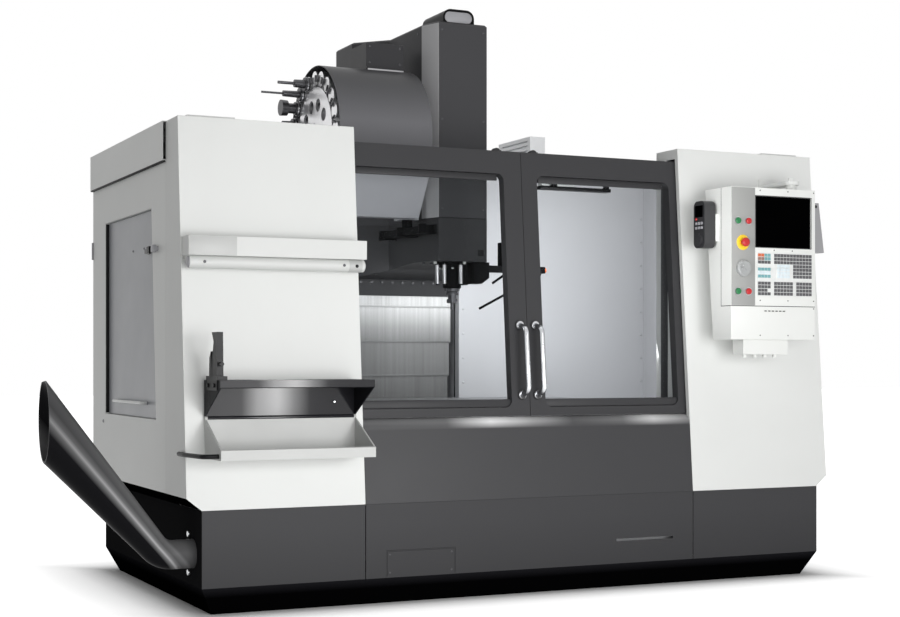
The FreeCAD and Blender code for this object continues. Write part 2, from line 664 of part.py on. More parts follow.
def door_handle(x):
    """Bent round grip on two bosses, leaning with the door."""
    low, high = HANDLE_Z
    face_low = front_y(low, DOOR_INSET)
    face_high = front_y(high, DOOR_INSET)
    out = HANDLE_STANDOFF
    grip = bent_bar([(x, face_high, high), (x, face_high - out, high - 18),
                     (x, face_low - out, low + 18), (x, face_low, low)], HANDLE_R, 26)
    trim = front_slab((x - 40, x + 40), (low - 60, high + 60), DOOR_INSET, 60)
    bosses = []
    for z in (low, high):
        y = front_y(z, DOOR_INSET)
        boss = cylinder((x, y - 10, z), (0, 1, 0), HANDLE_R + 5, 30)
        bosses.append(boss.cut(trim))
    return joined([grip.cut(trim)] + bosses)


# ---- inside of the enclosure -------------------------------------------------------

LINER_INSET = 6.0       # the liner's sides stand this far inside the roof caps
LINER_X = CAP_INNER_X - LINER_INSET
LINER_Y = 560.0
LINER_FLOOR = 560.0
LINER_Z = (LINER_FLOOR, COVER_TOP - 5)
LINER_FRONT_Y = -596.0
LINER_LIGHT = 12.0      # its opening at the side window is wider than the window all round


def inner_liner():
    """Pale inner walls, the sloping chip pan and the round-bottomed auger trough."""
    walls = []
    wall = SHEET
    for side in (-1, 1):
        gap_edge = side * (HEAD_WIDE_HALF + 5)
        inner = side * (LINER_X - wall)
        near, far = sorted((inner, side * LINER_X))
        sheet = box((near, far), (LINER_FRONT_Y, LINER_Y + wall), LINER_Z)
        near, far = sorted((side * (DOORWAY_HALF + 30), inner))
        front = box((near, far), (LINER_FRONT_Y, LINER_FRONT_Y + wall), LINER_Z)
        near, far = sorted((gap_edge, inner))
        back = box((near, far), (LINER_Y, LINER_Y + wall), LINER_Z)
        near, far = sorted((gap_edge, gap_edge + side * wall))
        back = joined([back, box((near, far), (LINER_Y, COLUMN_FRONT_Y), LINER_Z)])
        if side < 0:
            notch = box((FRAME_ARM_X[0] - 20, FRAME_ARM_X[1] + 120),
                        (LINER_Y - 1, COLUMN_FRONT_Y + 1), (CHANGER_ARM_Z[0] - 30, COVER_TOP + 1))
            back = back.cut(notch)
            light = window_plate((-LINER_X - 1, -LINER_X + wall + 1), -LINER_LIGHT)
            sheet = sheet.cut(light)
        walls.extend([sheet, front, back])
    pans = []
    for side in (-1, 1):
        near, far = sorted((side * (BED_HALF + 10), side * LINER_X))
        pan = prism_x([(LINER_Y + wall, LINER_FLOOR), (LINER_Y, LINER_FLOOR),
                       (AUGER_Y + TROUGH_R, TROUGH_TOP + wall), (AUGER_Y + TROUGH_R, TROUGH_TOP),
                       (LINER_Y, LINER_FLOOR - wall), (LINER_Y + wall, LINER_FLOOR - wall)],
                      (near, far))
        pans.append(pan)
    length = 2 * (BASE_HALF - 8)
    start = -BASE_HALF + 8
    wall = 5.0
    tube = cylinder((start, AUGER_Y, AUGER_Z), (1, 0, 0), TROUGH_R + wall, length)
    rise = box((start, start + length), (AUGER_Y - TROUGH_R - wall, AUGER_Y + TROUGH_R + wall),
               (AUGER_Z, TROUGH_TOP))
    bore = cylinder((start - 1, AUGER_Y, AUGER_Z), (1, 0, 0), TROUGH_R, length + 2)
    mouth = box((start + 60, start + length - 60), (AUGER_Y - TROUGH_R, AUGER_Y + TROUGH_R),
                (AUGER_Z, BASE_TOP))
    trough = tube.fuse(rise).cut(bore).cut(mouth)
    end_plate = cylinder((start + length - 8, AUGER_Y, AUGER_Z), (1, 0, 0), TROUGH_R, 8)
    end_plate = end_plate.cut(cylinder((start + length - 9, AUGER_Y, AUGER_Z), (1, 0, 0),
                                       18 + RUN_FIT, 10))
    feet = []
    for x in (-BASE_HALF + 120, 0, BASE_HALF - 120):
        foot = box((x - 20, x + 20), (AUGER_Y - 40, AUGER_Y + 40), (0, AUGER_Z))
        feet.append(foot.cut(cylinder((x - 21, AUGER_Y, AUGER_Z), (1, 0, 0), TROUGH_R + 1, 42)))
    return Part.makeCompound(walls + pans + [joined([trough, end_plate] + feet)])


CHANGER_ARM_Z = (1990.0, 2170.0)


def chip_auger():
    """Shaft with a helical flight that pushes chips to the left."""
    start = -BASE_HALF + 70
    end = BASE_HALF - 8
    shaft = cylinder((start, AUGER_Y, AUGER_Z), (1, 0, 0), 18, end - start)
    run = end - start - 160
    inner = Part.makeHelix(AUGER_PITCH, run, 16)
    outer = Part.makeHelix(AUGER_PITCH, run, AUGER_R)
    ribbon = Part.makeRuledSurface(inner.Edges[0], outer.Edges[0])
    flight = ribbon.extrude(V(0, 0, 8))
    flight.rotate(V(0, 0, 0), V(0, 1, 0), 90)
    flight.translate(V(start + 60, AUGER_Y, AUGER_Z))
    return shaft.fuse(flight)


def chip_chute():
    """Elbow with its stub from the base, and a widening tube cut off upright at its mouth."""
    rise = math.radians(CHUTE_RISE)
    bend = 95.0
    centre = V(CHUTE_ELBOW_X, AUGER_Y, AUGER_Z + bend)
    stub_start = -BASE_HALF + 8

    def tube(shrink, extra):
        radius = CHUTE_R - shrink
        stub = cylinder((CHUTE_ELBOW_X, AUGER_Y, AUGER_Z), (1, 0, 0), radius,
                        stub_start - CHUTE_ELBOW_X + extra)
        ring = Part.Face(Part.Wire(Part.makeCircle(radius, V(CHUTE_ELBOW_X, AUGER_Y, AUGER_Z),
                                                   V(1, 0, 0))))
        elbow = ring.revolve(centre, V(0, 1, 0), CHUTE_RISE)
        along = V(-math.cos(rise), 0, math.sin(rise))
        start = centre + V(-math.sin(rise), 0, -math.cos(rise)) * bend
        length = (start.x - CHUTE_MOUTH_X) / math.cos(rise) + CHUTE_MOUTH_R * math.tan(rise)
        reach = length - CHUTE_MOUTH_R * math.tan(rise)
        grow = (CHUTE_MOUTH_R - CHUTE_R) / reach
        wide = radius + grow * length
        cone = Part.makeCone(radius, wide, length, start, along)
        return stub.fuse(elbow), cone

    beyond = box((CHUTE_MOUTH_X - 600, CHUTE_MOUTH_X), (AUGER_Y - 300, AUGER_Y + 300), (0, 2000))
    elbow, cone = tube(0, 0)
    elbow_bore, cone_bore = tube(CHUTE_WALL, 1)
    return Part.makeCompound([elbow.cut(elbow_bore), cone.cut(cone_bore).cut(beyond)])


# ---- saddle, table and screws ------------------------------------------------------

X_SCREW_Z = SADDLE_TOP + 28
RAIL_SEAT = BED_TOP + 8
BLOCK_TOP = BED_TOP + 70


def saddle():
    """Saddle casting on four bearing blocks, with the X rails and the X motor on top."""
    low = BLOCK_TOP
    profile = [(-250, low), (250, low), (250, SADDLE_TOP - 30), (235, SADDLE_TOP),
               (-235, SADDLE_TOP), (-250, SADDLE_TOP - 30)]
    body = prism_x(profile, (-SADDLE_HALF, SADDLE_HALF))
    ends = []
    for side in (-1, 1):
        near, far = sorted((side * (Y_RAIL_X + 90), side * (SADDLE_HALF + 1)))
        wedge = prism_y([(side * (Y_RAIL_X + 90), low - 1), (side * (SADDLE_HALF + 1), low - 1),
                         (side * (SADDLE_HALF + 1), SADDLE_TOP - 40)], (-251, 251))
        ends.append(wedge)
    body = body.cut(Part.makeCompound(ends))
    blocks = []
    for x in (-Y_RAIL_X, Y_RAIL_X):
        for y in (-225, 105):
            section = [(x + u, BED_TOP + v) for u, v in block_section(BLOCK_TOP - BED_TOP)]
            blocks.append(prism_y(section, (y, y + 120)))
    nut = box((-55, 55), (-40, 40), (Y_SCREW_Z - 45, low))
    nut = nut.cut(cylinder((0, -41, Y_SCREW_Z), (0, 1, 0), SCREW_R + RUN_FIT, 82))
    rails = [rail(((-SADDLE_HALF + 5, SADDLE_HALF - 5), y, SADDLE_TOP), "x")
             for y in (-X_RAIL_Y, X_RAIL_Y)]
    bearings = []
    for x in (-SADDLE_HALF + 20, SADDLE_HALF - 50):
        bearing = box((x, x + 30), (-45, 45), (SADDLE_TOP, SADDLE_TOP + 62))
        bearings.append(bearing.cut(cylinder((x - 1, 0, X_SCREW_Z), (1, 0, 0),
                                             SCREW_R + RUN_FIT, 32)))
    motor = box((SADDLE_HALF - 20, SADDLE_HALF + 130), (-65, 65), (SADDLE_TOP - 35, SADDLE_TOP + 64))
    return joined([body, nut, motor] + blocks + rails + bearings)


def table():
    """Work table with three T-slots, on four bearing blocks and the X nut."""
    low = TABLE_TOP - TABLE_THICK
    half_x = TABLE_LENGTH / 2
    half_y = TABLE_WIDTH / 2
    slab = box((-half_x, half_x), (-half_y, half_y), (low, TABLE_TOP))
    slots = []
    for step in (-1, 0, 1):
        y = step * T_SLOT_PITCH
        neck = T_SLOT_W / 2
        foot = T_SLOT_FOOT / 2
        slot = [(y - foot, TABLE_TOP - 30), (y + foot, TABLE_TOP - 30), (y + foot, TABLE_TOP - 18),
                (y + neck, TABLE_TOP - 18), (y + neck, TABLE_TOP + 1), (y - neck, TABLE_TOP + 1),
                (y - neck, TABLE_TOP - 18), (y - foot, TABLE_TOP - 18)]
        slots.append(prism_x(slot, (-half_x - 1, half_x + 1)))
    slab = slab.cut(Part.makeCompound(slots))
    blocks = []
    for y in (-X_RAIL_Y, X_RAIL_Y):
        for x in (-200, 80):
            section = [(y + u, SADDLE_TOP + v) for u, v in block_section(low - SADDLE_TOP)]
            blocks.append(prism_x(section, (x, x + 120)))
    nut = box((-40, 40), (-40, 40), (X_SCREW_Z - 24, low))
    nut = nut.cut(cylinder((-41, 0, X_SCREW_Z), (1, 0, 0), SCREW_R + RUN_FIT, 82))
    return joined([slab, nut] + blocks)


def ball_screw(start, axis, length):
    """Plain round bar that stands for a ball screw."""
    return cylinder(start, axis, SCREW_R, length)


# ---- spindle head ------------------------------------------------------------------

def head_outline(inset):
    """Plan of the head: chamfered front corners, straight sides, flared back."""
    front = HEAD_FRONT_Y + inset
    nose = HEAD_FRONT_HALF - inset
    side = HEAD_SIDE_HALF - inset
    wide = HEAD_WIDE_HALF - inset
    right = [(nose, front), (side, HEAD_SIDE_Y), (side, HEAD_FLARE_Y + inset * 0.4),
             (wide, HEAD_WIDE_Y + inset * 0.4), (wide, HEAD_REAR_Y)]
    left = [(-x, y) for x, y in reversed(right)]
    return right + left


def head_cover():
    """Tall sheet cover over the spindle motor, open below and behind, and its cable duct."""
    outer = prism_z(head_outline(0), (HEAD_SEAM, HEAD_TOP))
    rim = [edge for edge in outer.Edges
           if all(vertex.Z > HEAD_TOP - 1 for vertex in edge.Vertexes)
           and not all(vertex.Y > HEAD_REAR_Y - 1 for vertex in edge.Vertexes)]
    outer = outer.makeChamfer(10, rim)
    hollow = prism_z(head_outline(COVER_WALL), (HEAD_SEAM - 1, HEAD_TOP - COVER_WALL - 8))
    behind = box((-HEAD_WIDE_HALF + COVER_WALL, HEAD_WIDE_HALF - COVER_WALL),
                 (HEAD_WIDE_Y + 40, HEAD_REAR_Y + 1), (HEAD_SEAM - 1, HEAD_TOP - COVER_WALL - 8))
    cover = outer.cut(hollow).cut(behind)
    width = (-92.0, 70.0)
    height = 66.0
    foot = HEAD_TOP

    def arch(inset, y_low, run):
        corners = [(width[0] + inset, y_low, foot - 60), (width[1] - inset, y_low, foot - 60),
                   (width[1] - inset, y_low, foot + height - inset),
                   (width[0] + inset, y_low, foot + height - inset)]
        return rounded_prism(corners, 40 - inset, (0, run, 0))

    front = HEAD_FRONT_Y + 22
    duct = arch(0, front, DUCT_LENGTH).cut(arch(9, front - 1, 7)).cut(arch(9, front + 10, DUCT_LENGTH))
    below = box((width[0] - 1, width[1] + 1), (HEAD_FRONT_Y, HEAD_REAR_Y), (foot - 80, foot))
    return Part.makeCompound([cover, duct.cut(below)])


DUCT_LENGTH = 240.0


def head_casting():
    """Lower head with a sloping underside, the carriage plate and its bearing blocks."""
    lower = prism_z(head_outline(0), (APRON_Z, HEAD_SEAM))
    underside = prism_x([(HEAD_FRONT_Y - 1, APRON_Z - 1), (HEAD_FRONT_Y - 1, HEAD_BOTTOM),
                         (110, HEAD_BOTTOM), (HEAD_FLARE_Y, HEAD_BOTTOM - 20),
                         (HEAD_WIDE_Y, HEAD_BOTTOM - 54), (PLATE_Y - 12, HEAD_BOTTOM - 54),
                         (PLATE_Y - 12, APRON_Z - 1)],
                        (-HEAD_WIDE_HALF - 1, HEAD_WIDE_HALF + 1))
    stack_top = PLATE_EDGES[0] + PLATE_H
    behind = box((-HEAD_WIDE_HALF - 1, HEAD_WIDE_HALF + 1), (PLATE_Y - 3, HEAD_REAR_Y + 1),
                 (APRON_Z - 1, stack_top))
    lower = lower.cut(underside).cut(behind)
    spine = box((-130, 130), (90, CARRIAGE_Y[0] + 1), (HEAD_SEAM - 1, HEAD_SEAM + 420))
    plate = box((-285, 285), CARRIAGE_Y, (stack_top, HEAD_SEAM + 420))
    blocks = []
    for x in (-Z_RAIL_X, Z_RAIL_X):
        for z in (stack_top + 10, HEAD_SEAM + 270):
            section = [(x + u, COLUMN_FRONT_Y - v) for u, v
                       in block_section(COLUMN_FRONT_Y - CARRIAGE_Y[1])]
            blocks.append(prism_z(section, (z, z + 140)))
    nut_z = HEAD_SEAM + 60
    nut = box((-52, 52), (CARRIAGE_Y[1] - 1, COLUMN_FRONT_Y - 4), (nut_z, nut_z + 110))
    nut = nut.cut(cylinder((0, Z_SCREW_Y, nut_z - 1), (0, 0, 1), SCREW_R + RUN_FIT, 112))
    bore = cylinder((0, 0, HEAD_BOTTOM - 1), (0, 0, 1), SPINDLE_R + 12, HEAD_SEAM - HEAD_BOTTOM + 2)
    return joined([lower.cut(bore), spine, plate, nut] + blocks)


CARRIAGE_Y = (680.0, 760.0)


def spindle_housing():
    """Spindle cartridge: a bolted flange under the head and the nose below it."""
    flange_h = 24.0
    profile = [(0, SPINDLE_R + RUN_FIT), (0, NOSE_R - 4), (6, NOSE_R),
               (HEAD_BOTTOM - HEAD_NOSE_Z - flange_h, NOSE_R),
               (HEAD_BOTTOM - HEAD_NOSE_Z - flange_h, FLANGE_R), (HEAD_BOTTOM - HEAD_NOSE_Z, FLANGE_R),
               (HEAD_BOTTOM - HEAD_NOSE_Z, SPINDLE_R + 10),
               (HEAD_SEAM - HEAD_NOSE_Z - 60, SPINDLE_R + 10),
               (HEAD_SEAM - HEAD_NOSE_Z - 60, SPINDLE_R + RUN_FIT)]
    return turned(profile, (0, 0, HEAD_NOSE_Z), (0, 0, 1))


def spindle_rotor():
    """Spindle shaft with the tool holder and end mill that it grips."""
    shaft = turned([(0, 0), (0, SPINDLE_R - 3), (4, SPINDLE_R - 3), (4, SPINDLE_R),
                    (HEAD_SEAM - HEAD_NOSE_Z - 70, SPINDLE_R), (HEAD_SEAM - HEAD_NOSE_Z - 70, 0)],
                   (0, 0, HEAD_NOSE_Z - 4), (0, 0, 1))
    top = HEAD_NOSE_Z - 4
    holder = turned([(0, 0), (0, 31), (9, 31), (12, 27), (16, 27), (19, 31), (26, 31), (26, 21),
                     (46, 19), (46, 24), (66, 22), (66, 8), (96, 8), (96, 0)],
                    (0, 0, top), (0, 0, -1))
    keys = [box((side * 30 - 7, side * 30 + 7), (-8, 8), (top - 7, top + 4 - SEAT)) for side in (-1, 1)]
    return joined([shaft, holder] + keys)


def coolant_nozzles():
    """Coolant block under the head, its bar with two pipes, and three bright posts."""
    pieces = []
    top = HEAD_BOTTOM
    for x, y in ((-104.0, -58.0), (-76.0, -78.0), (-3.0, -104.0)):
        post = turned([(0, 0), (0, 9), (104, 9), (112, 5), (112, 0)], (x, y, top), (0, 0, -1))
        pieces.append(post)
    block = prism_y([(66, top), (150, top), (150, top - 74), (110, top - 103), (66, top - 103)],
                    (-100, -40))
    bar = box((130, 470), (-70, -20), (top - 44, top - 12))
    riser = box((235, 285), (-70, -20), (top - 13, top + 101))
    pipe = bent_bar([(455, -45, top - 30), (455, -45, top - 52), (124, -45, top - 219)], 6, 10)
    short = bent_bar([(262, -45, top - 30), (262, -45, top - 52), (194, -45, top - 96)], 6, 8)
    pieces.append(joined([block, bar, riser, pipe, short]))
    return Part.makeCompound(pieces)


def way_plate(index):
    """Telescopic way cover plate: a flat sheet with folded sides and a wiper lip."""
    low = PLATE_EDGES[index]
    high = low + PLATE_H
    front = PLATE_Y + index * PLATE_STEP
    half = PLATE_HALF - index * (PLATE_T + 1)
    fold = 40.0 + (3 - index) * PLATE_STEP
    plan = [(-half, front), (half, front), (half, front + fold - index * 2),
            (half - PLATE_T, front + fold - index * 2), (half - PLATE_T, front + PLATE_T),
            (-half + PLATE_T, front + PLATE_T), (-half + PLATE_T, front + fold - index * 2),
            (-half, front + fold - index * 2)]
    sheet = prism_z(plan, (low, high))
    wiper = box((-half + PLATE_T + 1, half - PLATE_T - 1), (front + PLATE_T, front + PLATE_STEP - SEAT),
                (low, low + 12))
    return sheet.fuse(wiper)


# ---- tool changer ------------------------------------------------------------------

def changer_shell(radius, x_span):
    """Round-topped hood profile with straight skirts, swept along X."""
    x = x_span[0]
    foot = CHANGER_SKIRT_Z
    front_top = V(x, -radius, DRUM_Z)
    back_top = V(x, radius, DRUM_Z)
    edges = [Part.LineSegment(V(x, -radius, foot), front_top).toShape(),
             Part.Arc(front_top, V(x, 0, DRUM_Z + radius), back_top).toShape(),
             Part.LineSegment(back_top, V(x, radius, foot)).toShape(),
             Part.LineSegment(V(x, radius, foot), V(x, -radius, foot)).toShape()]
    return Part.Face(Part.Wire(edges)).extrude(V(x_span[1] - x_span[0], 0, 0))


HOOD_X = (-443.0, -254.0)
HOOD_Y = (0.0, 200.0)
HOOD_TOP = 2493.0


def changer_cover():
    """Half-round hood over the tool drum with the motor box on its crown."""
    outer = changer_shell(CHANGER_R, CHANGER_X)
    inner = changer_shell(CHANGER_R - SHEET, (CHANGER_X[0] - 1, CHANGER_X[1] + 1))
    opened = outer.cut(inner)
    slot = box((CHANGER_X[0] - 1, CHANGER_X[1] + 1), (-CHANGER_R + SHEET, CHANGER_R - SHEET),
               (CHANGER_SKIRT_Z - 1, CHANGER_SKIRT_Z + 1))
    notch = box((FRAME_ARM_X[0] - 1, FRAME_ARM_X[1] + 1), (CHANGER_R - 80, CHANGER_R + 1),
                (CHANGER_ARM_Z[0] - 1, CHANGER_ARM_Z[1]))
    hood = box(HOOD_X, HOOD_Y, (DRUM_Z + 200, HOOD_TOP))
    hollow = box((HOOD_X[0] + SHEET, HOOD_X[1] - SHEET), (HOOD_Y[0] + SHEET, HOOD_Y[1] - SHEET),
                 (DRUM_Z + 200, HOOD_TOP - SHEET))
    hood = hood.cut(hollow).cut(inner)
    ledge = box((HOOD_X[0], HOOD_X[1]), (HOOD_Y[0] - 12, HOOD_Y[0] + SHEET),
                (DRUM_Z + 332, DRUM_Z + 340))
    return joined([opened.cut(slot).cut(notch), hood, ledge.cut(inner)])


def changer_frame():
    """Arm from the column, drum shaft, cam box and the pale splash guard."""
    x_low, x_high = FRAME_ARM_X
    z_low, z_high = CHANGER_ARM_Z
    lug_y = (COLUMN_FRONT_Y + 20, COLUMN_FRONT_Y + 220)
    arm = box(FRAME_ARM_X, (0, lug_y[1]), CHANGER_ARM_Z)
    hub = cylinder((x_low, 0, DRUM_Z), (1, 0, 0), 100, x_high - x_low)
    lug = box((x_high - 1, -COLUMN_HALF - SEAT), lug_y, CHANGER_ARM_Z)
    collar_x = POCKET_X[0] - SEAT - 12
    shaft = cylinder((collar_x, 0, DRUM_Z), (1, 0, 0), DRUM_SHAFT_R, x_low - collar_x + 1)
    collar = cylinder((collar_x, 0, DRUM_Z), (1, 0, 0), DRUM_SHAFT_R + 14, 12)
    bridge = box((x_high - 1, -ARM_REACH - 41), (-40, 60), (DRUM_Z - 140, DRUM_Z + 90))
    cam_foot = DRUM_Z - 372
    cam_box = box((-ARM_REACH - 42, -ARM_REACH + 42), (-42, 60), (cam_foot, DRUM_Z + 260))
    bore = cylinder((-ARM_REACH, 0, cam_foot - 1), (0, 0, 1), ARM_SHAFT_R + RUN_FIT, 120)
    y_foot, z_foot = GUARD_FOOT
    guard = prism_x([(-CHANGER_R, CHANGER_SKIRT_Z), (-CHANGER_R + SHEET, CHANGER_SKIRT_Z),
                     (y_foot + SHEET, z_foot + 3), (y_foot + 60, z_foot + 3), (y_foot + 60, z_foot),
                     (y_foot, z_foot)], CHANGER_X)
    stay = box((x_low, x_low + 40), (-CHANGER_R + SHEET, -90), (DRUM_Z - 60, DRUM_Z))
    strut = prism_x([(y_foot + 30, DRUM_Z - 10), (y_foot + 70, DRUM_Z - 10),
                     (y_foot + 55, z_foot + 2), (y_foot + 25, z_foot + 2)], (x_low, x_low + 40))
    structure = joined([arm, hub, lug, shaft, collar, bridge, cam_box.cut(bore), stay, strut, guard])
    return structure


def tool_drum():
    """Twenty tool pockets round a hub, with a spoked bright disc in front."""
    low, high = POCKET_X
    bore = DRUM_SHAFT_R + RUN_FIT
    hub = cylinder((low, 0, DRUM_Z), (1, 0, 0), 62, FRAME_ARM_X[0] - low - SEAT)
    web = cylinder((high - 40, 0, DRUM_Z), (1, 0, 0), POCKET_CIRCLE_R, 24)
    disc = cylinder((low, 0, DRUM_Z), (1, 0, 0), DRUM_DISC_R, 10)
    pockets = []
    for index in range(POCKETS):
        angle = 2 * math.pi * index / POCKETS
        centre = (low, POCKET_CIRCLE_R * math.sin(angle), DRUM_Z - POCKET_CIRCLE_R * math.cos(angle))
        pockets.append(cylinder(centre, (1, 0, 0), POCKET_R, high - low))
    windows = []
    for index in range(POCKETS // 2):
        angle = 2 * math.pi * (index + 0.5) / (POCKETS // 2)
        middle = (DRUM_DISC_R + 62) / 2
        windows.append(cylinder((low - 1, middle * math.sin(angle),
                                 DRUM_Z + middle * math.cos(angle)), (1, 0, 0), 30, 12))
    disc = disc.cut(Part.makeCompound(windows))
    drum = joined([hub, web, disc] + pockets)
    return drum.cut(cylinder((low - 1, 0, DRUM_Z), (1, 0, 0), bore, 300))


TOOL_FORMS = (
    [(0, 0), (0, 31), (22, 31), (22, 20), (70, 18), (70, 7), (150, 7), (150, 0)],
    [(0, 0), (0, 31), (22, 31), (22, 24), (60, 24), (60, 36), (92, 38), (92, 0)],
    [(0, 0), (0, 31), (22, 31), (22, 16), (100, 14), (100, 5), (205, 5), (205, 0)],
)


def stored_tools():
    """Tool holders with drills and mills, in the pockets of the rear half."""
    tools = []
    for index in TOOL_POCKETS:
        angle = 2 * math.pi * index / POCKETS
        centre = (POCKET_X[0], POCKET_CIRCLE_R * math.sin(angle),
                  DRUM_Z - POCKET_CIRCLE_R * math.cos(angle))
        tools.append(turned(TOOL_FORMS[index % len(TOOL_FORMS)], centre, (-1, 0, 0)))
    return Part.makeCompound(tools)


def change_arm():
    """Double arm with an open gripper at each end, on its drive shaft."""
    low, high = ARM_Z
    x = -ARM_REACH
    hub = cylinder((x, 0, low), (0, 0, 1), 52, high - low)
    shaft = cylinder((x, 0, high), (0, 0, 1), ARM_SHAFT_R, 1770 - high)
    beam = prism_z([(x - 40, 0), (x - 26, -ARM_REACH), (x + 26, -ARM_REACH), (x + 40, 0),
                    (x + 26, ARM_REACH), (x - 26, ARM_REACH)], (low + 6, high - 6))
    jaws = []
    mouths = []
    for side in (-1, 1):
        y = side * ARM_REACH
        jaws.append(cylinder((x, y, low), (0, 0, 1), 44, high - low))
        mouths.append(cylinder((x, y, low - 1), (0, 0, 1), 31, high - low + 2))
        near, far = sorted((y + side * 6, y + side * 60))
        mouths.append(box((x - 24, x + 60), (near, far), (low - 1, high + 1)))
    return joined([hub, shaft, beam] + jaws).cut(Part.makeCompound(mouths))


# ---- rear cabinet ------------------------------------------------------------------

CABINET_X = (COLUMN_HALF + SEAT, 1000.0)
CABINET_Y = (870.0, 1320.0)
CABINET_Z = (COLUMN_FOOT_Z + 4, 2090.0)
VENT_RISE = 158.0       # the vent box stands this far above the cabinet


def electrical_cabinet():
    """Control cabinet beside the column, open at the back, with a vent box on top."""
    wall = SHEET
    shell = box(CABINET_X, CABINET_Y, CABINET_Z)
    hollow = box((CABINET_X[0] + wall, CABINET_X[1] - wall), (CABINET_Y[0] + wall, CABINET_Y[1] + 1),
                 (CABINET_Z[0] + wall, CABINET_Z[1] - wall))
    right = CABINET_X[1]
    vent = box((right - 95, right - 1), (CABINET_Y[0] + 30, CABINET_Y[1] - 37),
               (CABINET_Z[1], CABINET_Z[1] + VENT_RISE))
    slots = []
    for step in range(5):
        z = CABINET_Z[1] + 25 + step * 26
        slots.append(box((right - 96, right - 75), (CABINET_Y[0] + 60, CABINET_Y[1] - 70),
                         (z, z + 10)))
    vent = vent.cut(Part.makeCompound(slots))
    board = box((CABINET_X[0] + 60, CABINET_X[1] - 60), (CABINET_Y[0] + wall, CABINET_Y[0] + 120),
                (CABINET_Z[0] + 200, CABINET_Z[1] - 150))
    knuckles = []
    for z in DOOR_PIN_Z:
        barrel = cylinder(DOOR_PIN + (z + SEAT,), (0, 0, 1), DOOR_PIN_R, 40)
        leaf = box((CABINET_X[1], CABINET_X[1] + 3), (CABINET_Y[1] - 34, DOOR_PIN[1]),
                   (z + SEAT, z + SEAT + 40))
        knuckles.append(barrel.fuse(leaf))
    return joined([shell.cut(hollow), vent, board] + knuckles)


DOOR_PIN_R = 7.0
DOOR_PIN = (CABINET_X[1] + DOOR_PIN_R + SEAT, CABINET_Y[1] + 13)
DOOR_PIN_Z = (880.0, 1860.0)


def cabinet_door():
    """Rear door of the control cabinet with a folded rim, a turn handle and its knuckles."""
    gap = SEAT
    y = CABINET_Y[1] + gap
    leaf = box((CABINET_X[0] + 2, CABINET_X[1] - gap), (y, y + 20), CABINET_Z)
    hollow = box((CABINET_X[0] + 22, CABINET_X[1] - 20), (y - 1, y + 16),
                 (CABINET_Z[0] + 20, CABINET_Z[1] - 20))
    handle = box((CABINET_X[0] + 50, CABINET_X[0] + 74), (y + 20, y + 44), (1240, 1390))
    handle = handle.fuse(cylinder((CABINET_X[0] + 62, y + 19, 1380), (0, 1, 0), 20, 26))
    knuckles = []
    for z in DOOR_PIN_Z:
        barrel = cylinder(DOOR_PIN + (z - 40,), (0, 0, 1), DOOR_PIN_R, 40)
        strap = box((CABINET_X[1] - 1, DOOR_PIN[0]), (DOOR_PIN[1], DOOR_PIN[1] + DOOR_PIN_R),
                    (z - 40, z))
        knuckles.append(barrel.fuse(strap))
    return joined([leaf.cut(hollow), handle] + knuckles)


# ---- left cover fittings -----------------------------------------------------------

def upper_shelf():
    """Long shallow shelf box across the left cover, with a rolled tube along its foot."""
    low, high = SHELF_Z
    face = front_y(low)
    front = front_y(SHELF_LIP_Z) - SHELF_DEPTH
    trim = front_slab((-HALF_WIDTH - 1, -DOORWAY_HALF + 1), (low - 50, high + 50), 0, 300)
    body = box(SHELF_X, (front, front_y(high)), (SHELF_LIP_Z, high))
    hollow = box((SHELF_X[0] + SHEET, SHELF_X[1] - SHEET), (front + SHEET, front_y(high) + 1),
                 (SHELF_LIP_Z + SHEET, high + 1))
    back = front_slab(SHELF_X, (SHELF_LIP_Z, high), -SHEET, SHEET)
    radius = (SHELF_LIP_Z - low) / 2
    roll = cylinder((SHELF_X[0] + 6, front + radius + 4, low + radius), (1, 0, 0), radius,
                    SHELF_X[1] - SHELF_X[0] - 12)
    web = box((SHELF_X[0] + 6, SHELF_X[1] - 6), (front + radius, face - 1),
              (SHELF_LIP_Z - 14, SHELF_LIP_Z))
    shell = body.cut(hollow).cut(trim)
    return joined([shell, back, roll.cut(trim), web.cut(trim)])


def wedge_profile(hinge_y, hinge_z, reach, drop, lip):
    """Side view of a bin half: hinge at the cover, lip out front."""
    side = 1 if drop > 0 else -1
    return [(hinge_y, hinge_z), (hinge_y - reach, hinge_z - drop + side * lip),
            (hinge_y - reach, hinge_z - drop), (hinge_y, hinge_z - drop)]


BIN_BACK_Y = front_y(BIN_FLOOR_Z)
LID_BACK_Y = front_y(BIN_HINGE_Z) - 3
HINGE_BARREL_R = 8.0
HINGE_PIN_R = 4.0
LUG_WIDTH = 10.0
BIN_AXIS = (LID_BACK_Y - HINGE_BARREL_R - 1, BIN_HINGE_Z)


def bin_half(back_y, drop, lip, wall):
    """Open bin half with sloping sides; a positive drop makes the lower tray."""
    side = 1 if drop > 0 else -1
    profile = wedge_profile(back_y, BIN_HINGE_Z - side * 2, BIN_REACH, drop - side * 2, lip)
    outer = prism_x(profile, BIN_X)
    inner_profile = [(back_y - wall, BIN_HINGE_Z + side * 30),
                     (back_y - BIN_REACH + wall, BIN_HINGE_Z + side * 30),
                     (back_y - BIN_REACH + wall, BIN_HINGE_Z - drop + side * wall),
                     (back_y - wall, BIN_HINGE_Z - drop + side * wall)]
    inner = prism_x(inner_profile, (BIN_X[0] + wall, BIN_X[1] - wall))
    return outer.cut(inner)


def hinge_rod(radius, start, length):
    """Round bar along the bin's hinge axis."""
    return cylinder((start,) + BIN_AXIS, (1, 0, 0), radius, length)


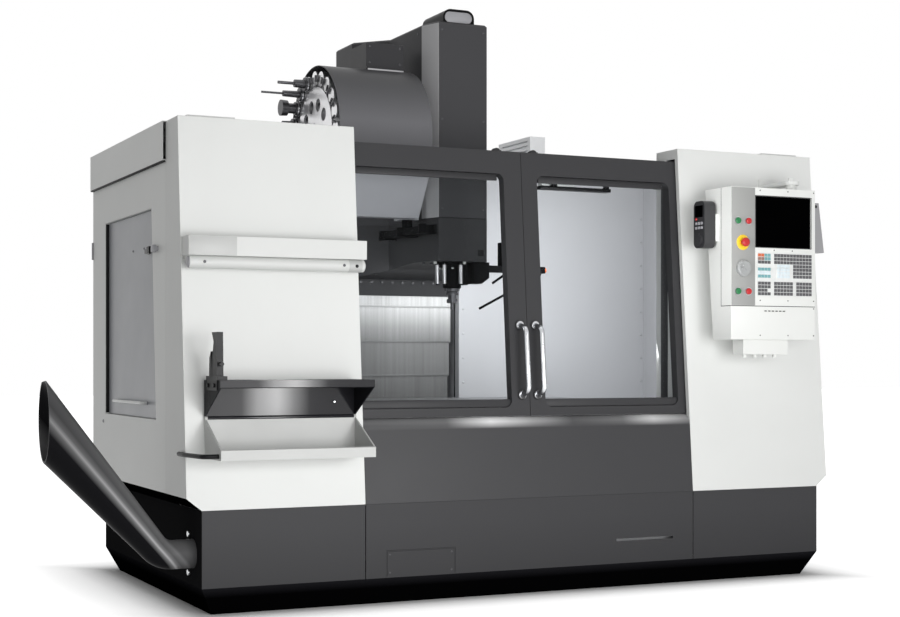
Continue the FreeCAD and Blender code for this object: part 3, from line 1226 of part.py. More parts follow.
def tool_tray():
    """White lower half of the clamshell bin, with the lugs and pin of its hinge."""
    wall = 6.0
    left, right = BIN_X
    tray = bin_half(BIN_BACK_Y, BIN_HINGE_Z - BIN_FLOOR_Z, BIN_LIP_H, wall)
    backing = prism_x([(BIN_BACK_Y, BIN_FLOOR_Z), (front_y(BIN_HINGE_Z - 2), BIN_HINGE_Z - 2),
                       (BIN_BACK_Y, BIN_HINGE_Z - 2)], BIN_X)
    relief = hinge_rod(HINGE_BARREL_R + SEAT, left + LUG_WIDTH, right - left - 2 * LUG_WIDTH)
    lugs = [hinge_rod(HINGE_BARREL_R, x, LUG_WIDTH) for x in (left, right - LUG_WIDTH)]
    pin = hinge_rod(HINGE_PIN_R, left, right - left)
    return joined([tray.fuse(backing).cut(relief), pin] + lugs)


def tray_lid():
    """Dark upper half of the bin, with the barrel that turns on the tray's pin."""
    wall = 5.0
    left, right = BIN_X
    lid = bin_half(LID_BACK_Y, BIN_HINGE_Z - LID_TOP_Z, LID_LIP_H, wall)
    barrel = hinge_rod(HINGE_BARREL_R, left + LUG_WIDTH + SEAT,
                       right - left - 2 * (LUG_WIDTH + SEAT))
    reliefs = [hinge_rod(HINGE_BARREL_R + SEAT, x, LUG_WIDTH + SEAT)
               for x in (left, right - LUG_WIDTH - SEAT)]
    bore = hinge_rod(HINGE_PIN_R + RUN_FIT, left - 1, right - left + 2)
    return lid.cut(Part.makeCompound(reliefs)).fuse(barrel).cut(bore).removeSplitter()


def toolholder_fixture():
    """Upright holder with two jaws, bolted on the left end of the lid."""
    x_span = (BIN_X[0] - 4, BIN_X[0] + 36)
    x_low = BIN_X[0] + 2
    back = LID_BACK_Y
    top = LID_TOP_Z
    foot = box(x_span, (back - 190, back - 40), (top, top + 16))
    post = prism_x([(back - 165, top + 16), (back - 100, top + 16), (back - 104, top + 90),
                    (back - 120, top + 150), (back - 96, top + 186), (back - 160, top + 186)],
                   (x_low, x_low + 26))
    jaw = prism_x([(back - 100, top + 16), (back - 60, top + 16), (back - 64, top + 88),
                   (back - 84, top + 112), (back - 92, top + 80)], (x_low, x_low + 26))
    screw = cylinder((x_low + 13, back - 190, top + 62), (0, 1, 0), 8, 128)
    bolts = [cylinder((x_span[0] - 6, back + y, top - 20), (1, 0, 0), 8, 6) for y in (-150, -70)]
    cheek = box((x_span[0], BIN_X[0]), (back - 180, back - 50), (top - 40, top))
    return joined([foot, post, jaw, screw, cheek] + bolts)


def corner_bumper():
    """Bent rubber bar that wraps the cover's corner beside the tray."""
    z = BIN_FLOOR_Z + 16
    y_corner = front_y(z)
    path = [(-HALF_WIDTH - 9, y_corner + 60, z), (-HALF_WIDTH - 9, y_corner - 20, z),
            (BIN_X[0] - 60, y_corner - BIN_REACH + 30, z), (BIN_X[0], y_corner - BIN_REACH + 30, z)]
    return bent_bar(path, 9, 24)


# ---- control pendant ---------------------------------------------------------------

def pendant_profile(inset):
    """Side view of the pendant: upright face, leaning back, deeper at the top."""
    low, high = PENDANT_Z
    return [(PENDANT_FRONT_Y + inset, low + inset), (PENDANT_FRONT_Y + inset, high - inset),
            (PENDANT_FRONT_Y + PENDANT_TOP_DEPTH - inset, high - inset),
            (PENDANT_FRONT_Y + PENDANT_BOTTOM_DEPTH - inset, low + inset)]


def pendant_housing():
    """Pendant case with its raised front plate, lower cover, side pocket and pivot post."""
    shell = prism_x(pendant_profile(0), PENDANT_X)
    inner = prism_x(pendant_profile(SHEET), (PENDANT_X[0] + SHEET, PENDANT_X[1] - SHEET))
    shell = shell.cut(inner)
    screen_recess = box(SCREEN_X, (PENDANT_FRONT_Y - 1, PENDANT_FRONT_Y + SHEET + 1), SCREEN_Z)
    shell = shell.cut(screen_recess)
    holes = []
    for x in BUTTON_X:
        for z in BUTTON_Z:
            holes.append(cylinder((x, PENDANT_FRONT_Y - 1, z), (0, 1, 0), BUTTON_R - 4 + SEAT, 8))
    holes.append(cylinder((STOP_X, PENDANT_FRONT_Y - 1, STOP_Z), (0, 1, 0), 11 + SEAT, 8))
    holes.append(cylinder((STOP_X, PENDANT_FRONT_Y - 1, JOG_Z), (0, 1, 0), 9 + RUN_FIT, 8))
    groove = box((PENDANT_X[0] - 1, PENDANT_X[1] + 1), (PENDANT_FRONT_Y - 1, PENDANT_FRONT_Y + 2),
                 (PENDANT_SPLIT_Z - 3, PENDANT_SPLIT_Z))
    card_slot = box((1040, 1160), (PENDANT_FRONT_Y - 1, PENDANT_FRONT_Y + 2.5), (1222, 1232))
    shell = shell.cut(Part.makeCompound(holes + [groove, card_slot]))
    top = PENDANT_Z[1]
    post = cylinder((PIVOT_X, PIVOT_Y, top - 6), (0, 0, 1), 24, 40)
    low = PENDANT_Z[0]
    gland_box = box((950, 1193), (PENDANT_FRONT_Y + 30, PENDANT_FRONT_Y + 110), (low - 66, low + 1))
    glands = [cylinder((x, PENDANT_FRONT_Y + 70, low - 80), (0, 0, 1), 11, 15)
              for x in (985, 1040, 1095, 1150)]
    side = PENDANT_X[1]
    pocket = prism_y([(side - 1, 1497), (side + 62, 1497), (side + 32, 1723), (side - 1, 1723)],
                     (-1046, -1000))
    pocket_hollow = prism_y([(side + SHEET, 1503), (side + 55, 1503), (side + 26, 1724),
                             (side + SHEET, 1724)], (-1042, -1004))
    holder = box((PENDANT_X[0] - 12, PENDANT_X[0] + 1), (-962, -900), (1540, 1660))
    return joined([shell, post, gland_box, pocket.cut(pocket_hollow), holder] + glands)


def pendant_bracket():
    """Arm that reaches out from the right cover and carries the pendant's pivot."""
    z = PENDANT_Z[1] + 34 + SEAT
    arm_top = z + 18
    arm = prism_z([(PIVOT_X - 34, PIVOT_Y - 10), (PIVOT_X + 34, PIVOT_Y - 10),
                   (PIVOT_X + 40, front_y(z)), (PIVOT_X - 40, front_y(z))], (z, arm_top))
    eye = cylinder((PIVOT_X, PIVOT_Y, z), (0, 0, 1), 36, arm_top - z)
    pin = cylinder((PIVOT_X, PIVOT_Y, arm_top), (0, 0, 1), 14, 16)
    plate = front_slab((PIVOT_X - 45, PIVOT_X + 45), (z - 30, z + 44), -8, 8)
    return joined([arm, eye, pin, plate])


def pendant_screen():
    """Flat screen glass held behind its opening."""
    lap = 8.0
    back = PENDANT_FRONT_Y + SHEET
    return box((SCREEN_X[0] - lap, SCREEN_X[1] + lap), (back, back + 4),
               (SCREEN_Z[0] - lap, SCREEN_Z[1] + lap))


def pendant_keyboard():
    """Key field: one mat with blocks of raised keys."""
    mat = box(KEYS_X, (PENDANT_FRONT_Y - 2, PENDANT_FRONT_Y), KEYS_Z)
    columns = 3
    rows = 3
    gap = 8.0
    width = (KEYS_X[1] - KEYS_X[0] - gap * (columns + 1)) / columns
    height = (KEYS_Z[1] - KEYS_Z[0] - gap * (rows + 1)) / rows
    blocks = []
    for column in range(columns):
        for row in range(rows):
            x = KEYS_X[0] + gap + column * (width + gap)
            z = KEYS_Z[0] + gap + row * (height + gap)
            blocks.append(box((x, x + width), (PENDANT_FRONT_Y - 4, PENDANT_FRONT_Y - 2),
                              (z, z + height)))
    return joined([mat] + blocks)


def push_button(x, z):
    """Round button with a collar; its stem slides in the pendant's front."""
    face = PENDANT_FRONT_Y
    return turned([(0, 0), (0, BUTTON_R - 4), (8 + BUTTON_TRAVEL, BUTTON_R - 4),
                   (8 + BUTTON_TRAVEL, BUTTON_R), (13 + BUTTON_TRAVEL, BUTTON_R),
                   (16 + BUTTON_TRAVEL, BUTTON_R - 4), (16 + BUTTON_TRAVEL, 0)],
                  (x, face + 8, z), (0, -1, 0))


BUTTON_TRAVEL = 4.0


def emergency_stop():
    """Mushroom button on its stem."""
    return turned([(0, 0), (0, 11), (20, 11), (26, 20), (34, 20), (40, 12), (40, 0)],
                  (STOP_X, PENDANT_FRONT_Y + 8, STOP_Z), (0, -1, 0))


def jog_dial():
    """Hand wheel with a finger dimple and a knurled rim."""
    dial = turned([(0, 0), (0, 9), (8.5, 9), (8.5, JOG_R), (22, JOG_R), (28, JOG_R - 6),
                   (28, 0)], (STOP_X, PENDANT_FRONT_Y + 8, JOG_Z), (0, -1, 0))
    dimple = Part.makeSphere(9, V(STOP_X - 18, PENDANT_FRONT_Y - 22, JOG_Z + 8))
    return dial.cut(dimple)


def jog_remote():
    """Hand-held jog unit that hangs on the pendant's left side."""
    x_span = (PENDANT_X[0] - 70, PENDANT_X[0] - 12)
    corners = [(x_span[0], -958, 1510), (x_span[0], -872, 1510), (x_span[0], -872, 1720),
               (x_span[0], -958, 1720)]
    body = rounded_prism(corners, 26, (x_span[1] - x_span[0], 0, 0))
    wheel = cylinder((x_span[0] - 8, -915, 1548), (1, 0, 0), 26, 9)
    return body.fuse(wheel)


# ---- build -------------------------------------------------------------------------

def build():
    os.makedirs("parts", exist_ok=True)
    save("base_casting", base_casting())
    save("levelling_feet", levelling_feet())
    save("column_casting", column_casting())
    save("linear_rails", linear_rails())
    save("servo_motors", servo_motors())
    save("base_skirt", base_skirt())
    save("base_panels", base_panels())
    save("left_front_cover", front_cover(-1))
    save("right_front_cover", front_cover(1))
    save("left_side_panel", left_side_panel())
    save("right_side_panel", side_panel(1))
    save("side_window", side_window())
    save("roof_caps", roof_caps())
    save("sill_panel", sill_panel())
    save("door_track", door_track())
    for name, side in (("left", -1), ("right", 1)):
        save(name + "_door_frame", door_frame(side))
        save(name + "_door_window", door_window(side))
        save(name + "_door_handle", door_handle(side * 38.0))
    save("inner_liner", inner_liner())
    save("chip_auger", chip_auger())
    save("chip_chute", chip_chute())
    save("saddle", saddle())
    save("table", table())
    save("x_ball_screw", ball_screw((-SADDLE_HALF + 20, 0, X_SCREW_Z), (1, 0, 0),
                                    2 * SADDLE_HALF - 40 - SEAT))
    save("y_ball_screw", ball_screw((0, BED_FRONT_Y + 10, Y_SCREW_Z), (0, 1, 0),
                                    600 - BED_FRONT_Y - SEAT))
    save("z_ball_screw", ball_screw((0, Z_SCREW_Y, Z_SCREW_Z[0]), (0, 0, 1),
                                    Z_SCREW_Z[1] - Z_SCREW_Z[0] - SEAT))
    save("head_casting", head_casting())
    save("head_cover", head_cover())
    save("spindle_housing", spindle_housing())
    save("spindle_rotor", spindle_rotor())
    save("coolant_nozzles", coolant_nozzles())
    for index, name in enumerate(("upper", "second", "third", "fixed")):
        save("way_plate_" + name, way_plate(index))
    save("changer_frame", changer_frame())
    save("changer_cover", changer_cover())
    save("tool_drum", tool_drum())
    save("stored_tools", stored_tools())
    save("change_arm", change_arm())
    save("electrical_cabinet", electrical_cabinet())
    save("cabinet_door", cabinet_door())
    save("upper_shelf", upper_shelf())
    save("tool_tray", tool_tray())
    save("tray_lid", tray_lid())
    save("toolholder_fixture", toolholder_fixture())
    save("cover_brackets", Part.makeCompound([pendant_bracket(), corner_bumper()]))
    save("pendant_housing", pendant_housing())
    save("pendant_screen", pendant_screen())
    save("pendant_keyboard", pendant_keyboard())
    save("power_on_button", push_button(BUTTON_X[0], BUTTON_Z[1]))
    save("power_off_button", push_button(BUTTON_X[1], BUTTON_Z[1]))
    save("cycle_start_button", push_button(BUTTON_X[0], BUTTON_Z[0]))
    save("feed_hold_button", push_button(BUTTON_X[1], BUTTON_Z[0]))
    save("emergency_stop", emergency_stop())
    save("jog_dial", jog_dial())
    save("jog_remote", jog_remote())


build()
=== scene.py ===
import json
import math

import bmesh
import bpy
from mathutils import Matrix, Vector


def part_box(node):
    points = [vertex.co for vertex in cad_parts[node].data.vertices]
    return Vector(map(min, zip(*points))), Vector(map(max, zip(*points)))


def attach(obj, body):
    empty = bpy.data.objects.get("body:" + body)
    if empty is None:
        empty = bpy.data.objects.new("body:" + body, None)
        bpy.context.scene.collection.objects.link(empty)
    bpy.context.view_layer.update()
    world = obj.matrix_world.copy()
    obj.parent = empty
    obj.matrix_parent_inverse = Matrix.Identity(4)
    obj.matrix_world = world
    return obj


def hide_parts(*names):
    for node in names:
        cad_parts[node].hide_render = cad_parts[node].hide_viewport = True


bl_info = {
    "name": "Machining center dressing",
    "version": (1, 0, 0),
    "blender": (4, 5, 0),
    "location": "3D View > Sidebar > Machine",
    "description": "Finishes and small pieces for an enclosed vertical machining center",
    "category": "Object",
}

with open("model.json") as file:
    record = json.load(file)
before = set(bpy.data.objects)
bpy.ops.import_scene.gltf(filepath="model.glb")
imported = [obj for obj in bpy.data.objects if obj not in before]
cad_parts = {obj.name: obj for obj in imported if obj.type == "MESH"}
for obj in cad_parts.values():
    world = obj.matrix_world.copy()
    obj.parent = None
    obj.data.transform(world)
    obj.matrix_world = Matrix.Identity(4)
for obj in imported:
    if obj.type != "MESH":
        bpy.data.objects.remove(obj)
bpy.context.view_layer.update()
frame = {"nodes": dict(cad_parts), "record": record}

UNIT = 0.001            # every piece is modelled in millimetres
FRONT_Y = -860.0        # foot of the leaning front
FRONT_FOOT_Z = 416.0
FRONT_LEAN = 0.083
DOOR_INSET = 34.0       # door face behind the white covers
PENDANT_FACE_Y = -1060.0
DIAL_X, DIAL_Z = 926.0, 1416.0
DRUM_Z = 2040.0
POCKETS = 20
POCKET_RING = 262.0     # radius of the ring of pockets
# shape of the chute's tube, which places its painted shading
CHUTE_DIRECTION = Vector((-math.cos(math.radians(49)), 0, math.sin(math.radians(49))))
CHUTE_AXIS = -1067.5    # place of the tube's axis along the direction of its upper side
CHUTE_Y = -739.0
CHUTE_RUN = (1286.6, 1934.8)    # where the tube starts and ends along its axis
CHUTE_RADII = (58.0, 106.0)     # its radius at those two places
CORNER_DIRECTION = (-0.6247, 0.0, -0.7809)      # square to the left side's slanted corner
CORNER_PLACE = 605.95
SHADED_FLOOR = (1.435, 0.75)    # half sizes of the floor's part that glows less, a painted shadow round the machine, in metres
SHADED_FORWARD = 0.055          # how far in front of the origin its middle lies
SMOOTH_BELOW = 35.0             # faces of a small piece meet smoothly below this angle
UP = Vector((0, 0, 1))
FORWARD = Vector((0, -1, 0))
LEFTWARD = Vector((-1, 0, 0))
RIGHTWARD = Vector((1, 0, 0))
DOWN = Vector((0, 0, -1))
BACKWARD = Vector((0, 1, 0))


def cad(node):
    """Lowest and highest corner of a CAD node at rest, in millimetres."""
    low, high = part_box(node)
    return low / UNIT, high / UNIT


# ---- settings ----------------------------------------------------------------------

def colour_setting(name, text, value):
    return bpy.props.FloatVectorProperty(name=name, description=text, default=value, size=3,
                                         min=0.0, max=1.0, subtype="COLOR")


def length_setting(name, text, value):
    return bpy.props.FloatProperty(name=name, description=text, default=value, min=0.0)


class MachinePaint(bpy.types.PropertyGroup):
    """Colours of the painted and moulded surfaces."""
    white: colour_setting("White", "Powder coat of the covers", (0.75, 0.76, 0.745))
    charcoal: colour_setting("Charcoal", "Satin coat of the base, doors and head",
                             (0.050, 0.050, 0.053))
    black: colour_setting("Black", "Toe kick and small brackets", (0.006, 0.006, 0.007))
    liner: colour_setting("Liner", "Enamel inside the enclosure", (0.60, 0.605, 0.625))
    grey: colour_setting("Grey", "Splash guard and small covers", (0.36, 0.36, 0.38))
    casting: colour_setting("Casting", "Painted cast iron", (0.28, 0.29, 0.30))
    pendant: colour_setting("Pendant", "Textured coat of the pendant", (0.74, 0.75, 0.73))
    red: colour_setting("Red", "Stop and hold buttons", (0.45, 0.012, 0.015))
    green: colour_setting("Green", "Start buttons", (0.01, 0.16, 0.05))
    yellow: colour_setting("Yellow", "Ring under the emergency stop", (0.80, 0.55, 0.02))


class MachineSizes(bpy.types.PropertyGroup):
    """Sizes of the small pieces, in millimetres."""
    sheet_edge: length_setting("Sheet edge", "Rounding of a folded sheet's edges", 1.6)
    casting_edge: length_setting("Casting edge", "Rounding of a casting's edges", 4.0)
    gasket: length_setting("Gasket", "Width of the window seals", 5.0)
    screw: length_setting("Screw", "Radius of a cover screw's head", 6.0)
    bolt: length_setting("Bolt", "Radius of a casting bolt's head", 10.0)
    key_gap: length_setting("Key gap", "Space between two keys", 2.2)


class MachineStage(bpy.types.PropertyGroup):
    """Camera and lights."""
    lens: bpy.props.FloatProperty(name="Lens", description="Focal length", default=64.06,
                                  unit="CAMERA")
    place: bpy.props.FloatVectorProperty(name="Place", description="Camera position", size=3,
                                         default=(-3.2841, -6.9322, 1.0011), unit="LENGTH")
    heading: bpy.props.FloatProperty(name="Heading", description="Camera turn about Z",
                                     default=math.radians(-25.278), unit="ROTATION")
    shift: bpy.props.FloatProperty(name="Shift", description="Vertical lens shift",
                                   default=0.0589)
    key: bpy.props.FloatProperty(name="Key light", description="Power of the front softbox",
                                 default=152.0, unit="POWER")
    top: bpy.props.FloatProperty(name="Top light", description="Power of the overhead softbox",
                                 default=36.0, unit="POWER")
    ambient: bpy.props.FloatProperty(name="Ambient", description="Strength of the world light",
                                     default=0.34, min=0.0)


# ---- shader expressions ------------------------------------------------------------

class Signal:
    """A number that varies over a surface; arithmetic on it adds Math nodes."""

    def __init__(self, nodes, socket):
        self.nodes = nodes
        self.socket = socket

    def combine(self, operation, first, second):
        node = self.nodes.node("ShaderNodeMath", {"operation": operation}, {0: first, 1: second})
        return Signal(self.nodes, node.outputs[0])

    def __add__(self, other):
        return self.combine("ADD", self, other)

    def __sub__(self, other):
        return self.combine("SUBTRACT", self, other)

    def __mul__(self, other):
        return self.combine("MULTIPLY", self, other)

    def __gt__(self, other):
        return self.combine("GREATER_THAN", self, other)

    def size(self):
        return self.combine("ABSOLUTE", self, 0.0)

    def larger(self, other):
        return self.combine("MAXIMUM", self, other)


class Nodes:
    """The nodes of a material or of the world."""

    def __init__(self, owner):
        owner.use_nodes = True
        self.tree = owner.node_tree
        self.tree.nodes.clear()

    def link(self, source, target):
        self.tree.links.new(source, target)

    def node(self, kind, settings=None, inputs=None):
        """A node with its settings, then the values or links of its sockets."""
        node = self.tree.nodes.new(kind)
        for name, value in (settings or {}).items():
            if name == "stops":
                self.set_stops(node.color_ramp, value)
            else:
                setattr(node, name, value)
        for key, value in (inputs or {}).items():
            socket = node.inputs[key]
            if isinstance(value, Signal):
                value = value.socket
            if isinstance(value, bpy.types.NodeSocket):
                self.link(value, socket)
            elif socket.type == "RGBA" and len(value) == 3:
                socket.default_value = (*value, 1.0)
            else:
                socket.default_value = value
        return node

    @staticmethod
    def set_stops(ramp, stops):
        while len(ramp.elements) < len(stops):
            ramp.elements.new(0.5)
        for element, (position, grey) in zip(ramp.elements, stops):
            element.position = position
            element.color = (grey, grey, grey, 1.0)

    def backdrop_rays(self):
        """Above nought on rays that meet the backdrop: straight, mirrored or let through."""
        path = self.node("ShaderNodeLightPath")
        camera, glossy, through = (Signal(self, path.outputs["Is %s Ray" % kind])
                                   for kind in ("Camera", "Glossy", "Transmission"))
        return camera + glossy + through


class Finish(Nodes):
    """A procedural material and the nodes that make it."""

    def __init__(self, name, roughness, gloss=0.5, metallic=0.0):
        self.material = bpy.data.materials.new(name)
        super().__init__(self.material)
        self.output = self.node("ShaderNodeOutputMaterial")
        self.shader = self.node("ShaderNodeBsdfPrincipled", {},
                                {"Roughness": roughness, "Specular IOR Level": gloss,
                                 "Metallic": metallic})
        self.link(self.shader.outputs[0], self.output.inputs[0])
        self.place = self.node("ShaderNodeTexCoord").outputs["Object"]

    def stretched(self, scale):
        """Object coordinates scaled along each axis."""
        mapping = self.node("ShaderNodeMapping", {}, {"Vector": self.place, "Scale": scale})
        return mapping.outputs[0]

    def noise(self, scale, detail=2.0, across=(1.0, 1.0, 1.0)):
        node = self.node("ShaderNodeTexNoise", {},
                         {"Vector": self.stretched(across), "Scale": scale, "Detail": detail})
        return Signal(self, node.outputs["Fac"])

    def coordinate(self, axis):
        node = self.node("ShaderNodeSeparateXYZ", {}, {0: self.place})
        return Signal(self, node.outputs[axis])

    def along(self, axis, low, high):
        """Runs from 0 to 1 between two places on an axis or a direction, in millimetres."""
        if isinstance(axis, str):
            place = self.coordinate(axis)
        else:
            node = self.node("ShaderNodeVectorMath", {"operation": "DOT_PRODUCT"},
                             {0: self.place, 1: axis})
            place = Signal(self, node.outputs["Value"])
        return (place - low * UNIT) * (1.0 / ((high - low) * UNIT))

    def ramp(self, signal, stops):
        node = self.node("ShaderNodeValToRGB", {"stops": stops}, {0: signal})
        return Signal(self, node.outputs[0])

    def mixed(self, factor, first, second):
        """Colour between two colours or links."""
        node = self.node("ShaderNodeMix", {"data_type": "RGBA"},
                         {"Factor": factor, 6: first, 7: second})
        return node.outputs[2]

    def spread(self, signal, colour, dark, light):
        """Colour between a darker and a lighter shade of itself."""
        return self.mixed(signal, shade(colour, dark), shade(colour, light))

    def sprayed(self, colour):
        """Colour of a sprayed coat, which drifts slightly over broad places."""
        return self.spread(self.noise(2.3, 3.0), colour, 0.955, 1.035)

    def colour(self, value):
        self.link(value, self.shader.inputs["Base Color"])

    def rough(self, signal):
        self.link(signal.socket, self.shader.inputs["Roughness"])

    def peel(self, roughness, strength):
        """Uneven gloss and fine orange peel of a sprayed coat."""
        self.rough(self.noise(9.0, 2.0) * 0.12 + (roughness - 0.06))
        self.bump(self.noise(620.0, 1.5), strength, 0.0006)

    def coat(self, weight, roughness):
        """Gloss of varying strength in place of the base's own."""
        self.shader.inputs["Specular IOR Level"].default_value = 0.0
        self.shader.inputs["Coat Roughness"].default_value = roughness
        self.link(weight.socket, self.shader.inputs["Coat Weight"])

    def bump(self, signal, strength, distance):
        node = self.node("ShaderNodeBump", {},
                         {"Height": signal, "Strength": strength, "Distance": distance})
        self.link(node.outputs[0], self.shader.inputs["Normal"])


def shade(colour, factor):
    """The colour made lighter or darker by a factor."""
    return tuple(min(1.0, part * factor) for part in colour)


def powder_coat(name, colour, roughness=0.42, peel=0.12, gloss=0.5, changes=(), dull=None):
    """Baked powder coat: slight colour drift and fine orange peel.

    A change holds an axis, two places on it and the colour that takes over between them;
    some are two-tone paint, most are painted light and shade.
    The gloss is a coat that ends between the two places of dull, at faces given painted shade.
    """
    finish = Finish(name, roughness, gloss)
    tone = finish.sprayed(colour)
    for axis, start, end, other in changes:
        taken = finish.ramp(finish.along(axis, start, end), [(0.0, 0.0), (1.0, 1.0)])
        tone = finish.mixed(taken, tone, other)
    if dull:
        shine = finish.ramp(finish.along(*dull), [(0.0, 2.0 * gloss), (1.0, 0.0)])
        finish.coat(shine, roughness)
    finish.colour(tone)
    finish.peel(roughness, peel)
    return finish.material


def brushed_metal(name, colour, across, roughness=0.30, lines=900.0, streak=0.22, painted_falloff=None):
    """Bright metal with fine lines along one direction and broad cloudy streaks.

    Painted falloff holds two heights in millimetres and the brightness at steps between them:
    painted shade that darkens the metal towards the lower height.
    """
    finish = Finish(name, roughness, metallic=0.25 if painted_falloff else 1.0)
    grain = finish.noise(lines, 2.0, across)
    cloud = finish.noise(3.5, 3.0)
    tone = finish.spread(grain, colour, 1.0 - streak, 1.0 + streak)
    tone = finish.mixed(cloud * 0.5, tone, shade(colour, 0.8))
    if painted_falloff:
        low, high, stops = painted_falloff
        # painted shade: the metal darkens towards the lower height
        tone = finish.mixed(finish.ramp(finish.along("Z", low, high), stops), (0, 0, 0), tone)
    finish.colour(tone)
    finish.rough(grain * 0.16 + cloud * 0.10 + (roughness - 0.12))
    finish.bump(grain, 0.08, 0.0004)
    return finish.material


def sill_coat(name, colour, bright):
    """Satin coat with a painted highlight in two broad places along its rounded top."""
    finish = Finish(name, 0.40, 0.2)
    # painted highlight: the rounded top turns to the bright colour, most strongly at two places
    # along X
    highlight_band = finish.ramp(finish.along("Z", 716, 744), [(0.0, 0.0), (1.0, 1.0)])
    highlight_spots = finish.ramp(finish.along("X", -800, 800),
                        [(0.0, 0.10), (0.24, 0.13), (0.37, 1.0), (0.50, 0.42), (0.62, 0.06),
                         (0.78, 0.16), (0.88, 0.75), (1.0, 0.25)])
    finish.colour(finish.mixed(highlight_band * highlight_spots, finish.sprayed(colour), bright))
    finish.peel(0.40, 0.10)
    return finish.material


def tube_coat_painted_shading(name, colour, bright):
    """Coat of the rising tube with painted shading: black below, a long painted highlight line,
    a grey upper side, and painted light and shade inside the far wall.
    """
    finish = Finish(name, 0.34, 0.03)
    start, end = CHUTE_RADII
    run = finish.along((CHUTE_DIRECTION.x, 0.0, CHUTE_DIRECTION.z), *CHUTE_RUN)
    radius = run.larger(0.0) * (end - start) + start
    above = finish.along((CHUTE_DIRECTION.z, 0.0, -CHUTE_DIRECTION.x), CHUTE_AXIS, CHUTE_AXIS + 1)
    side = above.combine("DIVIDE", above, radius)
    # painted shading round the tube, by its side: black below, a painted highlight line, grey above
    shades = finish.ramp(side * 0.5 + 0.5,
                         [(0.0, 0.0), (0.40, 0.0), (0.52, 0.45), (0.57, 1.0), (0.64, 0.42),
                          (0.74, 0.22), (0.90, 0.36), (1.0, 0.20)])
    # painted shade: the outside darkens along the run
    painted_fade = finish.ramp(run, [(0.0, 1.0), (1.0, 0.55)])
    # painted light and shade on the inside of the far wall
    inner = finish.ramp(side * 0.5 + 0.5, [(0.0, 0.70), (0.30, 0.58), (0.60, 0.0), (1.0, 0.0)])
    far = finish.along("Y", CHUTE_Y, CHUTE_Y + 0.1) > 0.5
    shades = shades * painted_fade
    finish.colour(finish.mixed(shades + (inner - shades) * far, colour, bright))
    finish.peel(0.34, 0.08)
    return finish.material


def lid_lacquer_painted_highlight(name, colour):
    """Black lacquer whose gloss is strong in a band along X and weak towards the right end: a
    painted highlight.
    """
    finish = Finish(name, 0.10)
    finish.colour(finish.spread(finish.noise(2.3, 3.0), colour, 0.95, 1.05))
    finish.rough(finish.noise(9.0, 2.0) * 0.06 + 0.06)
    finish.bump(finish.noise(60.0, 1.0), 0.02, 0.0006)
    # painted highlight: gloss set along X so the reflection shows in one band and fades to the
    # right
    gloss = finish.ramp(finish.along("X", -1500, -900),
                        [(0.0, 0.24), (0.30, 0.28), (0.41, 0.96), (0.55, 0.96), (0.67, 0.40),
                         (0.78, 0.10)])
    finish.coat(gloss, 0.10)
    return finish.material


def cast_paint(name, colour):
    """Enamel over cast iron: soft pits under the paint."""
    finish = Finish(name, 0.55, 0.15)
    pits = finish.noise(140.0, 4.0)
    finish.colour(finish.spread(finish.noise(6.0, 3.0), colour, 0.88, 1.08))
    finish.rough(pits * 0.2 + 0.42)
    finish.bump(pits, 0.30, 0.0015)
    return finish.material


def machined_metal(name, colour, roughness=0.28, scale=260.0):
    """Turned or ground metal with fine tool marks."""
    finish = Finish(name, roughness, metallic=1.0)
    marks = finish.noise(scale, 3.0)
    stain = finish.noise(18.0, 4.0)
    finish.colour(finish.spread(stain, colour, 0.82, 1.1))
    finish.rough(marks * 0.14 + stain * 0.10 + (roughness - 0.1))
    finish.bump(marks, 0.06, 0.0003)
    return finish.material


def moulded_plastic(name, colour, roughness=0.45, grain=0.10, gloss=0.5):
    """Moulded plastic with a fine texture and slight sheen changes."""
    finish = Finish(name, roughness, gloss)
    soft = finish.noise(30.0, 2.0)
    finish.colour(finish.spread(soft, colour, 0.90, 1.10))
    finish.rough(soft * 0.12 + (roughness - 0.06))
    finish.bump(finish.noise(1500.0, 1.0), grain, 0.0003)
    return finish.material


def clear_pane(name, tint=(0.90, 0.94, 0.95), veil=0.002):
    """Window pane: mostly see-through, with a mirror that grows at a shallow angle."""
    finish = Finish(name, 0.06)
    smear = finish.noise(5.0, 4.0)
    finish.colour(finish.mixed(smear, shade(tint, 0.9), tint))
    finish.rough(smear * 0.10 + 0.02)
    finish.bump(finish.noise(3.0, 1.0), 0.02, 0.001)
    through = finish.node("ShaderNodeBsdfTransparent", {}, {0: (0.965, 0.975, 0.98)})
    edge = finish.node("ShaderNodeLayerWeight", {}, {"Blend": 0.12})
    amount = Signal(finish, edge.outputs["Fresnel"]) * 0.12 + veil
    blend = finish.node("ShaderNodeMixShader", {}, {0: amount, 1: through.outputs[0],
                                                    2: finish.shader.outputs[0]})
    finish.link(blend.outputs[0], finish.output.inputs[0])
    return finish.material


def display_glass(name):
    """Dark display behind polished glass."""
    finish = Finish(name, 0.25, 0.0)
    cells = finish.noise(12.0, 2.0)
    finish.colour(finish.mixed(cells, (0.0004, 0.0004, 0.0005), (0.0008, 0.0008, 0.0009)))
    finish.rough(cells * 0.06 + 0.20)
    finish.bump(finish.noise(900.0, 1.0), 0.01, 0.0002)
    return finish.material


FINISHES = {}


